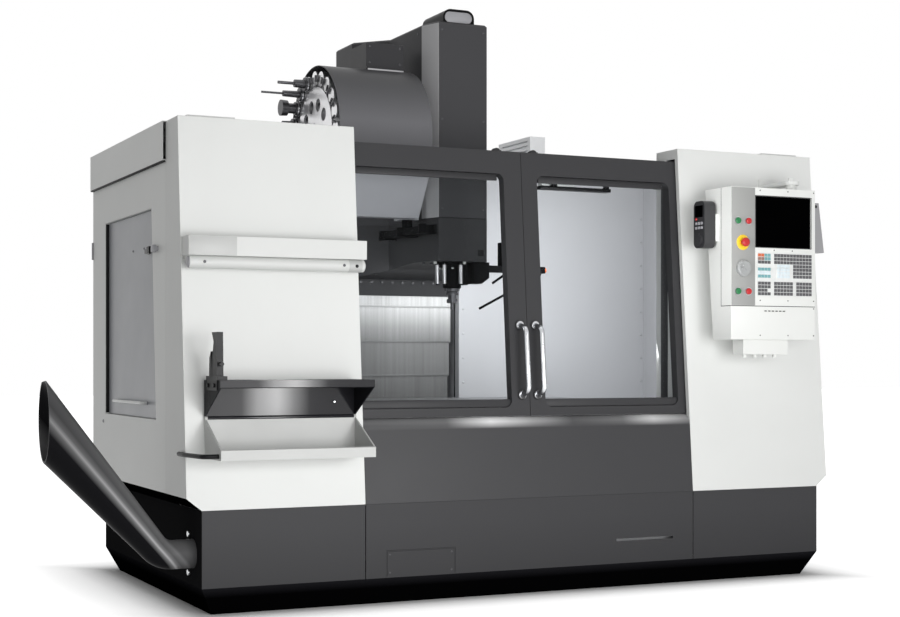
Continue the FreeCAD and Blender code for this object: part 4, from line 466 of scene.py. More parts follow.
def mix_finishes():
    """Makes every material once, from the paint settings."""
    paint = bpy.context.scene.machine_paint
    white, charcoal, black = paint.white, paint.charcoal, paint.black
    upright, level = (1.0, 1.0, 0.006), (0.006, 1.0, 1.0)
    # painted shade: beyond the plane of the left side's slanted lower corner the coat turns near
    # black and loses its gloss
    under = (CORNER_DIRECTION, CORNER_PLACE - 1.4, CORNER_PLACE - 0.8)
    painted_corner_shade = [(*under, shade(black, 0.3))]
    # painted shade: the base's left face beyond X -1487.5 turns a much darker charcoal and loses
    # its gloss
    shaded_left_face = ("X", -1487.5, -1489.0)
    # Many coats are lighter or darker copies of the white, the charcoal or the black, each set so
    # that its part shows as bright as wanted under these lamps: painted light and shade.
    tables = {powder_coat: {
        "white": ("white_coat", white, 0.42, 0.10, 0.35),
        # shelf: the white darkened, painted shade on its protruding front
        "shelf": ("shelf_coat", shade(white, 0.88), 0.42, 0.10, 0.35),
        "charcoal": ("charcoal_coat", shade(charcoal, 0.9), 0.42, 0.14, 0.15),
        # tool changer cover: the charcoal made 3.4 times lighter, painted light on a cover the
        # lamps hardly reach, going back to plain charcoal from z 2080 up to z 2330
        "changer": ("changer_coat", shade(charcoal, 3.4), 0.36, 0.05, 0.10,
                    [("Z", 2080, 2330, shade(charcoal, 1.0))]),
        # base: darker towards the floor from z 330 down to z 110, and on its left face: painted
        # shade
        "base": ("base_coat", shade(charcoal, 0.94), 0.46, 0.14, 0.15,
                 [("Z", 330, 110, shade(charcoal, 0.74)), (*shaded_left_face, shade(charcoal, 0.30))],
                 shaded_left_face),
        # head cover: a lighter copy of the charcoal; the left chamfer in light grey, painted light;
        # near black above z 2591
        "head": ("head_coat", shade(charcoal, 1.3), 0.40, 0.12, 0.10,
                 [((-0.951, -0.308, 0.0), 155.8, 156.4, (0.50, 0.50, 0.51)),
                  ("Z", 2591, 2602, shade(black, 0.5))]),
        # toe kick: lighter towards its top from z 70 to z 112: painted light
        "kick": ("kick_coat", shade(black, 0.2), 0.80, 0.14, 0.0,
                 [("Z", 70, 112, shade(black, 2.0))]),
        "black": ("black_coat", black, 0.38, 0.10, 0.2),
        "nozzle": ("nozzle_coat", shade(black, 0.5), 0.5, 0.10, 0.03),
        # side panels: the white made a little lighter, painted light, and near black beyond their
        # slanted corner, painted shade
        "side": ("side_coat", shade(white, 1.06), 0.42, 0.10, 0.35, painted_corner_shade, under),
        # front covers: near black beyond the plane of the left side's slanted corner: painted shade
        "cover": ("cover_coat", white, 0.42, 0.10, 0.35, painted_corner_shade, under),
        # cabinet: nearly pure white above z 1995, painted light on the part that shows over the
        # roof
        "cabinet": ("cabinet_coat", white, 0.42, 0.10, 0.35,
                    [("Z", 1995, 2000, (0.98, 0.99, 1.0))]),
        "liner": ("liner_enamel", paint.liner, 0.36, 0.08, 0.3),
        "guard": ("guard_enamel", paint.grey, 0.40, 0.10),
        "pendant": ("pendant_coat", paint.pendant, 0.46, 0.22, 0.5,
                    [("X", 1323.5, 1325.5, (0.29, 0.29, 0.30))]),
        "bracket": ("bracket_coat", black, 0.40, 0.10, 0.1, [("X", -100, 100, white)]),
        "column": ("switch_column_coat", shade(paint.pendant, 0.44), 0.46, 0.16, 0.2),
        # tray: the white darkened, on the bin painted shade from the lid above; also used for the
        # shelf's end sheet and sleeve
        "tray": ("tray_coat", shade(white, 0.68), 0.42, 0.10),
        "side_pane": ("side_window_sheet", (0.30, 0.31, 0.33), 0.34, 0.03, 0.3,
                      [("X", -1537.0, -1539.0, (0.70, 0.71, 0.70))]),
    }, sill_coat: {
        # sill: painted highlight along its rounded top
        "sill": ("sill_coat", shade(charcoal, 0.92), (0.76, 0.76, 0.765)),
    }, tube_coat_painted_shading: {
        # chute: painted shading round the tube
        "chute": ("chute_coat", shade(black, 1.2), (0.42, 0.42, 0.425)),
    }, lid_lacquer_painted_highlight: {
        # bin lid: painted highlight set by its gloss
        "lid": ("lid_coat", shade(black, 3.0)),
    }, cast_paint: {
        "casting": ("casting_paint", paint.casting),
        # head casting: a darker copy of the charcoal, painted shade on the head's underside and
        # apron
        "dark_casting": ("head_paint", shade(charcoal, 0.85)),
    }, machined_metal: {
        "steel": ("bright_steel", (0.56, 0.57, 0.58)),
        "dark_steel": ("dark_steel", (0.09, 0.09, 0.095), 0.38),
        "iron": ("ground_iron", (0.30, 0.30, 0.31), 0.34, 180.0),
        "chrome": ("chrome", (0.62, 0.63, 0.65), 0.12, 90.0),
        "post": ("post_steel", (0.40, 0.40, 0.41), 0.30, 90.0),
        "bright": ("bright_disc", (0.82, 0.82, 0.83), 0.30, 200.0),
    }, brushed_metal: {
        # way covers and their lips: painted shade darkening them from z 1350 down to z 850
        "way": ("way_steel", (0.80, 0.80, 0.79), upright, 0.40, 70.0, 0.45,
                (850, 1350, [(0.0, 0.22), (0.5, 0.26), (0.66, 0.48), (0.83, 0.84)])),
        "lip": ("way_lip", (0.50, 0.50, 0.50), level, 0.40, 900.0, 0.14,
                (850, 1350, [(0.0, 0.36), (0.5, 0.42), (0.66, 0.66), (0.83, 1.0)])),
        "track": ("track_steel", (0.55, 0.56, 0.57), level),
    }, clear_pane: {
        "pane": ("window_pane",),
    }, display_glass: {
        "display": ("display_glass",),
    }, moulded_plastic: {
        "rubber": ("seal_rubber", (0.014, 0.014, 0.015), 0.62, 0.25, 0.12),
        "plastic": ("black_plastic", (0.022, 0.022, 0.024), 0.42),
        "mat": ("key_mat", (0.72, 0.73, 0.72), 0.5),
        "dark_key": ("dark_key", (0.085, 0.085, 0.09), 0.48),
        "brown_key": ("brown_key", (0.26, 0.15, 0.12), 0.48),
        "teal_key": ("teal_key", (0.16, 0.36, 0.38), 0.48),
        "orange_key": ("orange_key", (0.55, 0.12, 0.04), 0.48),
        "pale_key": ("pale_key", (0.66, 0.74, 0.78), 0.48),
        "red": ("red_button", paint.red, 0.28, 0.04),
        "green": ("green_button", paint.green, 0.28, 0.04),
        "yellow": ("yellow_ring", paint.yellow, 0.40, 0.05),
        "orange": ("orange_tip", (0.62, 0.13, 0.02), 0.35, 0.05),
        "dial": ("grey_dial", (0.33, 0.34, 0.34), 0.30, 0.05),
    }}
    for maker, table in tables.items():
        FINISHES.update({key: maker(*values) for key, values in table.items()})


# ---- modelling ---------------------------------------------------------------------

# slot name that Form.finish works out for a piece in this finish and then leaves unused; the others
# would take the finish's own name
SLOTS = {
    "steel": "bright_steel", "plastic": "black_plastic", "rubber": "black_plastic",
    "dial": "black_plastic", "black": "black_plastic", "nozzle": "black_paint",
    "charcoal": "charcoal_paint", "guard": "grey_paint", "column": "grey_paint",
    "tray": "white_paint", "mat": "white_paint", "white": "white_paint",
    "orange": "red_plastic", "yellow": "red_plastic", "red": "red_plastic",
    "post": "chrome", "lip": "way_steel", "display": "screen_glass",
}


def add_object(name, data):
    made = bpy.data.objects.new(name, data)
    bpy.context.scene.collection.objects.link(made)
    return made


def add_mesh(name, mesh, material):
    """Object of a mesh in one material; the mesh is used up."""
    data = bpy.data.meshes.new(name)
    mesh.to_mesh(data)
    mesh.free()
    data.materials.append(material)
    return add_object(name, data)


class Form:
    """A piece while it is modelled, in millimetres."""

    def __init__(self):
        self.mesh = bmesh.new()

    def soften(self, edges, radius):
        if radius:
            bmesh.ops.bevel(self.mesh, geom=list(edges), offset=radius, segments=2,
                            profile=0.5, affect="EDGES", material=-1, clamp_overlap=True)

    def block(self, low, high, soft=1.0):
        low, high = Vector(low), Vector(high)
        matrix = Matrix.Translation((low + high) / 2) @ Matrix.Diagonal((*(high - low), 1.0))
        made = bmesh.ops.create_cube(self.mesh, size=1.0, matrix=matrix)
        self.soften({edge for vert in made["verts"] for edge in vert.link_edges}, soft)
        return self

    def rod(self, start, axis, radius, length, soft=1.0, sides=24):
        axis = Vector(axis)
        turn = axis.to_track_quat("Z", "Y").to_matrix().to_4x4()
        matrix = Matrix.Translation(Vector(start) + axis * (length / 2)) @ turn
        made = bmesh.ops.create_cone(self.mesh, cap_ends=True, segments=sides, radius1=radius,
                                     radius2=radius, depth=length, matrix=matrix)
        caps = {face for vert in made["verts"] for face in vert.link_faces
                if len(face.verts) == sides}
        self.soften({edge for face in caps for edge in face.edges}, soft)
        return self

    def lathe(self, start, axis, profile, steps):
        """Turned form from (distance along the axis, radius) points."""
        axis = Vector(axis)
        side = UP if abs(axis.z) < 0.5 else RIGHTWARD
        verts = [self.mesh.verts.new(Vector(start) + axis * distance + side * radius)
                 for distance, radius in profile]
        edges = [self.mesh.edges.new(pair) for pair in zip(verts, verts[1:])]
        bmesh.ops.spin(self.mesh, geom=verts + edges, cent=start, axis=axis,
                       angle=2 * math.pi, steps=steps, use_merge=True)
        bmesh.ops.remove_doubles(self.mesh, verts=self.mesh.verts, dist=0.002)
        return self

    def panel(self, x_span, z_span, corner, y):
        """Flat rounded rectangle facing the front; returns its face."""
        made = bmesh.ops.create_grid(self.mesh, x_segments=1, y_segments=1, size=0.5)
        verts = made["verts"]
        centre = Vector(((x_span[0] + x_span[1]) / 2, y, (z_span[0] + z_span[1]) / 2))
        size = Matrix.Diagonal((x_span[1] - x_span[0], z_span[1] - z_span[0], 1.0, 1.0))
        matrix = Matrix.Translation(centre) @ Matrix.Rotation(math.pi / 2, 4, "X") @ size
        bmesh.ops.transform(self.mesh, matrix=matrix, verts=verts)
        faces = {face for vert in verts for face in vert.link_faces}
        if corner:
            made = bmesh.ops.bevel(self.mesh, geom=verts, offset=corner, segments=6,
                                   profile=0.5, affect="VERTICES", material=-1)
            faces = {face for vert in made["verts"] for face in vert.link_faces}
        return faces.pop()

    def plate(self, x_span, z_span, corner, y, depth, soft=0.6):
        """Rounded plate from its front face at y back through its depth."""
        face = self.panel(x_span, z_span, corner, y)
        self.deepen([face], depth)
        self.soften(face.edges, soft)
        return self

    def deepen(self, faces, depth):
        """Gives faces at the front their depth."""
        made = bmesh.ops.extrude_face_region(self.mesh, geom=faces)
        moved = [item for item in made["geom"] if isinstance(item, bmesh.types.BMVert)]
        bmesh.ops.translate(self.mesh, vec=(0, depth, 0), verts=moved)

    def surround(self, x_span, z_span, corner, width, y, depth, soft=0.8):
        """Frame of one width round a rounded opening."""
        face = self.panel((x_span[0] - width, x_span[1] + width),
                          (z_span[0] - width, z_span[1] + width), corner + width, y)
        rim = bmesh.ops.inset_region(self.mesh, faces=[face], thickness=width,
                                     use_even_offset=True, depth=0.0)["faces"]
        bmesh.ops.delete(self.mesh, geom=[face], context="FACES_ONLY")
        self.deepen(rim, depth)
        front = {edge for face in rim for edge in face.edges
                 if sum(linked in rim for linked in edge.link_faces) == 1}
        self.soften(front, soft)
        return self

    def hex_head(self, start, axis, radius, height):
        return self.rod(start, axis, radius, height, soft=radius * 0.12, sides=6)

    def screw_head(self, start, axis, radius):
        """Button head with a socket, standing on start."""
        height = radius * 0.55
        profile = [(0, 0), (0, radius), (height * 0.45, radius), (height * 0.85, radius * 0.8),
                   (height, radius * 0.5), (height, radius * 0.42), (height * 0.35, radius * 0.36),
                   (height * 0.35, 0)]
        return self.lathe(start, axis, profile, 16)

    def lean(self):
        """Shears upright work at y = 0 onto the leaning front."""
        matrix = Matrix.Identity(4)
        matrix[1][2] = FRONT_LEAN
        matrix[1][3] = FRONT_Y - FRONT_LEAN * FRONT_FOOT_Z
        bmesh.ops.transform(self.mesh, matrix=matrix, verts=self.mesh.verts)
        return self

    def finish(self, name, finish, body="enclosure", slot=None):
        """Turns the form into a piece that rides on a body."""
        bmesh.ops.recalc_face_normals(self.mesh, faces=self.mesh.faces)
        shade_by_angle(self.mesh, SMOOTH_BELOW)
        bmesh.ops.scale(self.mesh, vec=(UNIT, UNIT, UNIT), verts=self.mesh.verts)
        slot = slot or SLOTS.get(finish, finish)
        piece = add_mesh(name, self.mesh, FINISHES[finish])
        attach(piece, body)


def each(make, places, *values):
    """One form with an equal part at each place."""
    form = Form()
    for place in places:
        make(form, place, *values)
    return form


def circle(count, radius, start=0.0):
    """Cosine and sine parts of evenly spaced places round a circle."""
    angles = [math.tau * (index + start) / count for index in range(count)]
    return [(radius * math.cos(angle), radius * math.sin(angle)) for angle in angles]


def shade_by_angle(mesh, angle):
    limit = math.radians(angle)
    for face in mesh.faces:
        face.smooth = True
    for edge in mesh.edges:
        edge.smooth = len(edge.link_faces) == 2 and edge.calc_face_angle(0.0) < limit


BODY_OF = {node: body for body, nodes in frame["record"]["behaviour"]["bodies"].items()
           for node in nodes}


def dress(node, finish, edge=0.0, angle=32.0, segments=2):
    """Smooth-shaded copy of a CAD node with rounded edges, in its finish."""
    paint(node, finish)
    mesh = bmesh.new()
    mesh.from_mesh(frame["nodes"][node].data)
    bmesh.ops.remove_doubles(mesh, verts=mesh.verts, dist=0.00002)
    bmesh.ops.dissolve_limit(mesh, angle_limit=math.radians(0.6), verts=mesh.verts,
                             edges=mesh.edges, use_dissolve_boundaries=False)
    shade_by_angle(mesh, angle)
    piece = add_mesh(node + "_finished", mesh, FINISHES[finish])
    if edge:
        bevel = piece.modifiers.new("edge", "BEVEL")
        bevel.width = edge * UNIT
        bevel.segments = segments
        bevel.limit_method = "ANGLE"
        bevel.angle_limit = math.radians(angle)
        bevel.use_clamp_overlap = True
        bevel.harden_normals = True
    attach(piece, BODY_OF[node])
    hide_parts(node)


def paint(node, finish):
    """CAD node kept as it is, in its finish."""
    data = frame["nodes"][node].data
    data.materials.clear()
    data.materials.append(FINISHES[finish])


def spaced(start, end, count):
    """Evenly spaced places from start to end, both included."""
    return [start + (end - start) * index / (count - 1) for index in range(count)]


# ---- machine structure -------------------------------------------------------------

class MACHINE_OT_castings(bpy.types.Operator):
    """Finish the bed, column, rails, screws, motors and feet"""
    bl_idname = "machine.castings"
    bl_label = "Castings and axes"

    def execute(self, context):
        sizes = context.scene.machine_sizes
        for node in ("base_casting", "column_casting"):
            dress(node, "casting", sizes.casting_edge)
        dress("levelling_feet", "steel", 0.8)
        dress("linear_rails", "steel", 0.6)
        dress("servo_motors", "black", 2.0)
        for axis in "xyz":
            dress(axis + "_ball_screw", "steel", 0.8)
        self.motor_fittings()
        self.column_bolts(sizes)
        return {"FINISHED"}

    @staticmethod
    def motor_fittings():
        """Bolts of the Z motor's flange and its plug housing."""
        centre = Vector((0, 865, 2480))
        places = [centre + Vector((x, y, 105)) for x in (-62, 62) for y in (-62, 62)]
        each(Form.hex_head, places, UP, 8, 6).finish("motor_bolts", "steel")
        plug = Form().block(centre + Vector((-22, 40, 135)), centre + Vector((22, 66, 158)), 4)
        plug.rod(centre + Vector((0, 64, 146)), BACKWARD, 9, 22, 2)
        plug.finish("motor_plug", "plastic")

    @staticmethod
    def column_bolts(sizes):
        """Foundation bolts round the column's foot, behind the enclosure."""
        places = [(side * 352, y, 557) for side in (-1, 1) for y in spaced(920, 1290, 4)]
        each(Form.hex_head, places, UP, sizes.bolt, 12).finish("column_bolts", "dark_steel")


class MACHINE_OT_table(bpy.types.Operator):
    """Finish the saddle and the work table"""
    bl_idname = "machine.table"
    bl_label = "Saddle and table"

    def execute(self, context):
        dress("saddle", "casting", 2.5)
        dress("table", "iron", 1.2)
        low, high = cad("table")
        form = Form()
        for x in (low.x - 3, high.x - 1):
            form.block((x, low.y + 6, high.z - 80), (x + 4, high.y - 6, high.z - 40), 1.5)
        form.finish("table_end_wipers", "rubber", "table")
        return {"FINISHED"}


# ---- enclosure ---------------------------------------------------------------------

class MACHINE_OT_base(bpy.types.Operator):
    """Finish the toe kick and the charcoal base sheets"""
    bl_idname = "machine.base"
    bl_label = "Base"

    def execute(self, context):
        sizes = context.scene.machine_sizes
        dress("base_skirt", "kick", 1.5)
        dress("base_panels", "base", sizes.sheet_edge)
        places = [(x, FRONT_Y, z) for x in (-690, -409) for z in (130, 205)]
        hatch = each(Form.screw_head, places, FORWARD, sizes.screw * 0.7)
        hatch.finish("hatch_screws", "dark_steel")
        back = cad("base_panels")[1].y
        places = [(x, back, z) for side in (-1, 1) for x in spaced(side * 760, side * 1440, 5)
                  for z in (140, 390)]
        rear = each(Form.screw_head, places, BACKWARD, sizes.screw)
        rear.finish("rear_base_screws", "steel")
        return {"FINISHED"}


class MACHINE_OT_covers(bpy.types.Operator):
    """Finish the covers, side panels, roof caps, sill, track and liner"""
    bl_idname = "machine.covers"
    bl_label = "Covers"

    def execute(self, context):
        sizes = context.scene.machine_sizes
        edge = sizes.sheet_edge
        dress("roof_caps", "white", edge)
        for node in ("left_front_cover", "right_front_cover"):
            dress(node, "cover", edge)
        for node in ("left_side_panel", "right_side_panel"):
            dress(node, "side", edge)
        dress("sill_panel", "sill", 0.8)
        dress("door_track", "track", 0.8)
        dress("inner_liner", "liner", 1.0)
        self.liner_screws(sizes)
        self.cover_screws(sizes)
        self.cap_shade_strips()
        self.doorway_strips()
        self.work_lamp()
        self.side_window()
        return {"FINISHED"}

    @staticmethod
    def liner_screws(sizes):
        """Rows of screws beside the liner's rear corners."""
        places = [(side * x, 560, z) for side in (-1, 1) for z in spaced(640, 1780, 10)
                  for x in (1412, 330)]
        each(Form.screw_head, places, FORWARD, sizes.screw).finish("liner_screws", "steel")

    @staticmethod
    def cover_screws(sizes):
        """Screws up the rear sheets and under the roof caps."""
        back = cad("right_side_panel")[1].y
        places = []
        for side in (-1, 1):
            places += [(side * 1500, back, z) for z in spaced(560, 1760, 7)]
            places += [(x, back, 1785) for x in spaced(side * 520, side * 1440, 6)]
        each(Form.screw_head, places, BACKWARD, sizes.screw).finish("rear_cover_screws", "steel")

    @staticmethod
    def cap_shade_strips():
        """Dark strip below the overhang of each roof cap: painted shade in the gap beneath it."""
        form = Form()
        for low in (-1563.0, 1550.0):
            form.block((low, -553, 1813), (low + 13, 749, 1819), 1.0)
        form.finish("roof_cap_shade_strips", "rubber")

    @staticmethod
    def doorway_strips():
        """Dark strips on the covers' inner edges, beside the doors' path."""
        form = Form()
        for low in (-798.0, 795.5):
            form.block((low, -652, 764), (low + 2.5, -596, 1815), 0.8)
        form.finish("doorway_strips", "charcoal")

    @staticmethod
    def work_lamp():
        """Lamp that hangs from the door track over the right half of the doorway."""
        body = Form().block((156, -606, 1776), (520, -560, 1792), 2)
        for x in (200, 470):
            body.block((x, -640, 1786), (x + 20, -618, 1851), 1)
            body.block((x, -640, 1786), (x + 20, -600, 1792), 1)
        body.finish("lamp_body", "black", slot="black_paint")
        lens = Form().block((160, -604, 1791), (330, -562, 1811), 6)
        lens.finish("lamp_lens", "mat")

    @staticmethod
    def side_window():
        """The side window with its seal, screws and latch, and the rear catch."""
        dress("side_window", "side_pane", 0.8)
        seal = Form().block((-1548, 496.8, 764), (-1526, 498.6, 1640), 0.3)
        seal.finish("side_window_seal", "rubber")
        screws = each(Form.screw_head, [(-1534, -150, 1486), (-1534, 40, 1486)], LEFTWARD, 5)
        screws.finish("side_window_screws", "dark_steel", "side_window")
        latch = Form().block((-1552.6, -330.6, 1458.4), (-1533.6, -223.4, 1477.6), 2)
        latch.block((-1564.6, -330.6, 1450.4), (-1550.4, -299.4, 1485.6), 3)
        latch.finish("side_window_latch", "black", "side_window")
        keeper = Form().block((-1560.6, -442.6, 1458.4), (-1549.6, -355.4, 1477.6), 1.5)
        keeper.block((-1574.6, -442.6, 1452.4), (-1558.4, -413.4, 1483.6), 2)
        keeper.finish("latch_keeper", "guard")
        catch = Form().block((-1558, 742, 1488), (-1549, 749, 1570), 2)
        catch.screw_head((-1550, 536, 723), LEFTWARD, 8)
        catch.finish("rear_catch", "guard")


class MACHINE_OT_doors(bpy.types.Operator):
    """Finish the sliding doors, their panes, seals and handles"""
    bl_idname = "machine.doors"
    bl_label = "Doors"

    def execute(self, context):
        sizes = context.scene.machine_sizes
        window_z = (803.0, 1821.0)
        spans = {"left": (-830.0, -88.0), "right": (77.0, 763.0)}
        for side, x_span in spans.items():
            body = side + "_door"
            dress(body + "_frame", "charcoal", sizes.sheet_edge)
            dress(body + "_handle", "chrome", 0.6)
            paint(body + "_window", "pane")
            width = sizes.gasket
            seal = Form().surround((x_span[0] + width, x_span[1] - width),
                                   (window_z[0] + width, window_z[1] - width), 26, width,
                                   DOOR_INSET + 24, 20)
            seal.block((x_span[0] + 20, DOOR_INSET + 24, window_z[1] - 28),
                       (x_span[1] - 20, DOOR_INSET + 44, window_z[1] - 1), 1)
            seal.lean().finish(body + "_seal", "charcoal", body, slot="black_plastic")
            ledge = Form().block((x_span[0] + 1, DOOR_INSET + 8, window_z[0] + 1),
                                 (x_span[1] - 1, DOOR_INSET + 44, window_z[0] + 35), 4)
            ledge.lean().finish(body + "_ledge", "charcoal", body)
            self.pane_clips(body, x_span, window_z)
            self.handle_collars(body, -38.0 if side == "left" else 38.0)
        strip = Form().block((-1.0, DOOR_INSET + 6, 770), (6.0, DOOR_INSET + 40, 1916), 1.0)
        strip.lean().finish("door_meeting_seal", "rubber", "right_door")
        return {"FINISHED"}

    @staticmethod
    def pane_clips(body, x_span, z_span):
        """Clips that hold the pane to the back of the door."""
        form = Form()
        back = DOOR_INSET + 45
        for z in (z_span[0] - 18, z_span[1] + 18):
            for x in spaced(x_span[0] + 60, x_span[1] - 60, 5):
                form.block((x - 14, back, z - 9), (x + 14, back + 10, z + 9), 1.5)
        form.lean().finish(body + "_pane_clips", "steel", body)

    @staticmethod
    def handle_collars(body, x):
        """Turned collars where the handle meets the door."""
        profile = [(0, 0), (0, 21), (3, 22), (7, 20), (10, 14), (10, 0)]
        places = [(x, DOOR_INSET, z) for z in (857.0, 1160.0)]
        form = each(Form.lathe, places, FORWARD, profile, 28)
        form.lean().finish(body + "_handle_collars", "plastic", body)


# ---- head --------------------------------------------------------------------------

class MACHINE_OT_head(bpy.types.Operator):
    """Finish the head, spindle, coolant pipes and way covers"""
    bl_idname = "machine.head"
    bl_label = "Head and way covers"

    def execute(self, context):
        sizes = context.scene.machine_sizes
        dress("head_casting", "dark_casting", 3.0)
        dress("head_cover", "head", 2.0)
        dress("spindle_housing", "nozzle", 1.0)
        dress("spindle_rotor", "dark_steel", 0.5)
        dress("coolant_nozzles", "nozzle", 1.0)
        for name in ("upper", "second", "third", "fixed"):
            dress("way_plate_" + name, "way", 0.8)
        self.underside(sizes)
        self.cover_details(sizes)
        self.nozzle_tips()
        self.collet_grips()
        self.wipers()
        return {"FINISHED"}

    @staticmethod
    def underside(sizes):
        """Bolts of the spindle flange, along the apron and under the head."""
        places = [(x, y, 1450) for x, y in circle(8, 59, 0.5)]
        each(Form.rod, places, DOWN, 6, 8, 1, 12).finish("flange_bolts", "steel", "head")
        places = [(x, 592, 1405) for x in spaced(-230, 230, 9)]
        apron = each(Form.hex_head, places, FORWARD, sizes.bolt * 0.8, 6)
        apron.finish("apron_bolts", "dark_steel", "head")
        places = [(x, 20, 1473) for x in spaced(-140, 140, 8)]
        each(Form.hex_head, places, DOWN, 7, 9).finish("underside_bolts", "dark_steel", "head")

    @staticmethod
    def cover_details(sizes):
        """Seam trim, screws and inspection plug of the head cover."""
        heights = (1720, 2140, 2560)
        places = [(x, -121, z) for x in (-108, 108) for z in heights]
        form = each(Form.screw_head, places, FORWARD, sizes.screw)
        for side in (-1, 1):
            for y in (40, 350):
                for z in heights:
                    form.screw_head((side * 162, y, z), (side, 0, 0), sizes.screw)
        form.finish("head_cover_screws", "dark_steel", "head")
        plug = Form().plate((79, 109), (1501, 1531), 4, -124, 4, 1.0)
        plug.finish("inspection_plug", "rubber", "head")
        band = Form().plate((-124, 124), (1676, 1680), 0, -121.6, 1.4, 0.3)
        band.finish("head_seam", "rubber", "head")

    @staticmethod
    def nozzle_tips():
        """Bright sleeves of the three posts, their bolts in white as a painted glint, and the
        coolant bar's coupling.
        """
        profile = [(0, 9), (0, 9.6), (88, 9.6), (90, 9.2), (90, 9)]
        places = [(x, y, 1458) for x, y in ((-104, -58), (-76, -78), (-3, -104))]
        each(Form.lathe, places, DOWN, profile, 24).finish("post_sleeves", "post", "head")
        # painted glint: the steel bolts are given the white coat
        bolts = each(Form.rod, [(-119, -66, 1474), (13, -108, 1474)], DOWN, 8, 12, 2.5, 16)
        bolts.finish("post_bolts_painted_glint", "white", "head", slot="bright_steel")
        form = Form().lathe((469, -45, 1446), RIGHTWARD,
                            [(0, 0), (0, 9), (4, 13), (14, 13), (18, 8), (18, 0)], 20)
        form.finish("coolant_coupling", "orange", "head")
        side = Form().block((9, -99, 1364), (40, -77, 1472), 3)
        side.finish("coolant_block_plate", "nozzle", "head")
        plate = Form().plate((-82, 60), (2602, 2654), 26, -94.5, 1.5, 0.4)
        plate.finish("duct_plate", "guard", "head")

    @staticmethod
    def collet_grips():
        """Grips round the nut of the tool holder in the spindle."""
        form = Form()
        for x, y in circle(12, 23.2):
            form.block((x - 2, y - 2, 1282), (x + 2, y + 2, 1298), 0.6)
        form.finish("collet_nut_grips", "dark_steel", "spindle")

    @staticmethod
    def wipers():
        """Thin lip along the lower edge of each moving way plate, and a black strip up the right
        side.
        """
        for name, body in (("upper", "head"), ("second", "second_plate"), ("third", "third_plate")):
            low, high = cad("way_plate_" + name)
            form = Form().block((low.x + 8, low.y - 1.0, low.z),
                                (high.x - 8, low.y, low.z + 7), 0.3)
            form.finish("way_wiper_" + name, "lip", body)
        seal = Form().block((301.5, 606, 742), (314, 614, 1330), 1)
        seal.finish("way_side_strip", "black")


# ---- tool changer ------------------------------------------------------------------

class MACHINE_OT_changer(bpy.types.Operator):
    """Finish the tool changer, its drum, tools and change arm"""
    bl_idname = "machine.changer"
    bl_label = "Tool changer"

    def execute(self, context):
        sizes = context.scene.machine_sizes
        dress("changer_cover", "changer", 1.5, angle=25.0)
        dress("changer_frame", "guard", 1.5)
        dress("tool_drum", "bright", 0.8)
        dress("stored_tools", "dark_steel", 0.6)
        dress("change_arm", "nozzle", 1.5)
        self.pocket_fingers()
        self.drum_bolts()
        self.hood_trim(sizes)
        self.holder_rings()
        return {"FINISHED"}

    @staticmethod
    def pocket_fingers():
        """Spring fingers that grip the holders at each pocket's mouth."""
        form = Form()
        for cosine, sine in circle(POCKETS, 1.0):
            radial = Vector((0, sine, -cosine))
            across = Vector((0, radial.z, -radial.y))
            mouth = Vector((-706, 0, DRUM_Z)) + radial * (POCKET_RING + 12)
            for side in (-1, 1):
                form.rod(mouth + across * (side * 30), -radial, 5, 30, 1.5, 10)
        form.finish("pocket_fingers", "dark_steel", "drum")

    @staticmethod
    def drum_bolts():
        places = [(-700, y, DRUM_Z + z) for z, y in circle(8, 53)]
        each(Form.hex_head, places, LEFTWARD, 6, 5).finish("drum_bolts", "steel", "drum")

    @staticmethod
    def hood_trim(sizes):
        """Bright strip along the motor box's edge, a painted highlight on its grey paint, and the
        box's screws.
        """
        # painted highlight: a bright metal strip where the grey edge catches the light
        form = Form().block((-440, -12.5, 2352), (-258, -9.5, 2371), 0.8)
        form.finish("motor_box_painted_highlight", "post", slot="grey_paint")
        places = [(x, 0, z) for x in (-425, -272) for z in (2400, 2475)]
        screws = each(Form.screw_head, places, FORWARD, sizes.screw)
        screws.finish("motor_box_screws", "dark_steel")

    @staticmethod
    def holder_rings():
        """Grip rings of the stored holders, which fill half of the pockets."""
        places = [(-711, y, DRUM_Z - z) for z, y in circle(POCKETS, POCKET_RING)[:POCKETS // 2]]
        profile = [(-2.5, 29), (-2.5, 33), (2.5, 33), (2.5, 29)]
        rings = each(Form.lathe, places, LEFTWARD, profile, 28)
        rings.finish("holder_grip_rings", "steel", "drum")


# ---- chips -------------------------------------------------------------------------

class MACHINE_OT_chips(bpy.types.Operator):
    """Finish the chip auger and the chute"""
    bl_idname = "machine.chips"
    bl_label = "Auger and chute"

    def execute(self, context):
        dress("chip_auger", "dark_steel", 0.0)
        dress("chip_chute", "chute", 1.0)
        for index, z in enumerate((312, 158)):
            cap = Form().rod((-1490, -694, z), LEFTWARD, 12, 10, 2, 20)
            cap.finish("chute_fitting_%d" % (index + 1), "steel")
        return {"FINISHED"}


# ---- fittings on the left cover ----------------------------------------------------

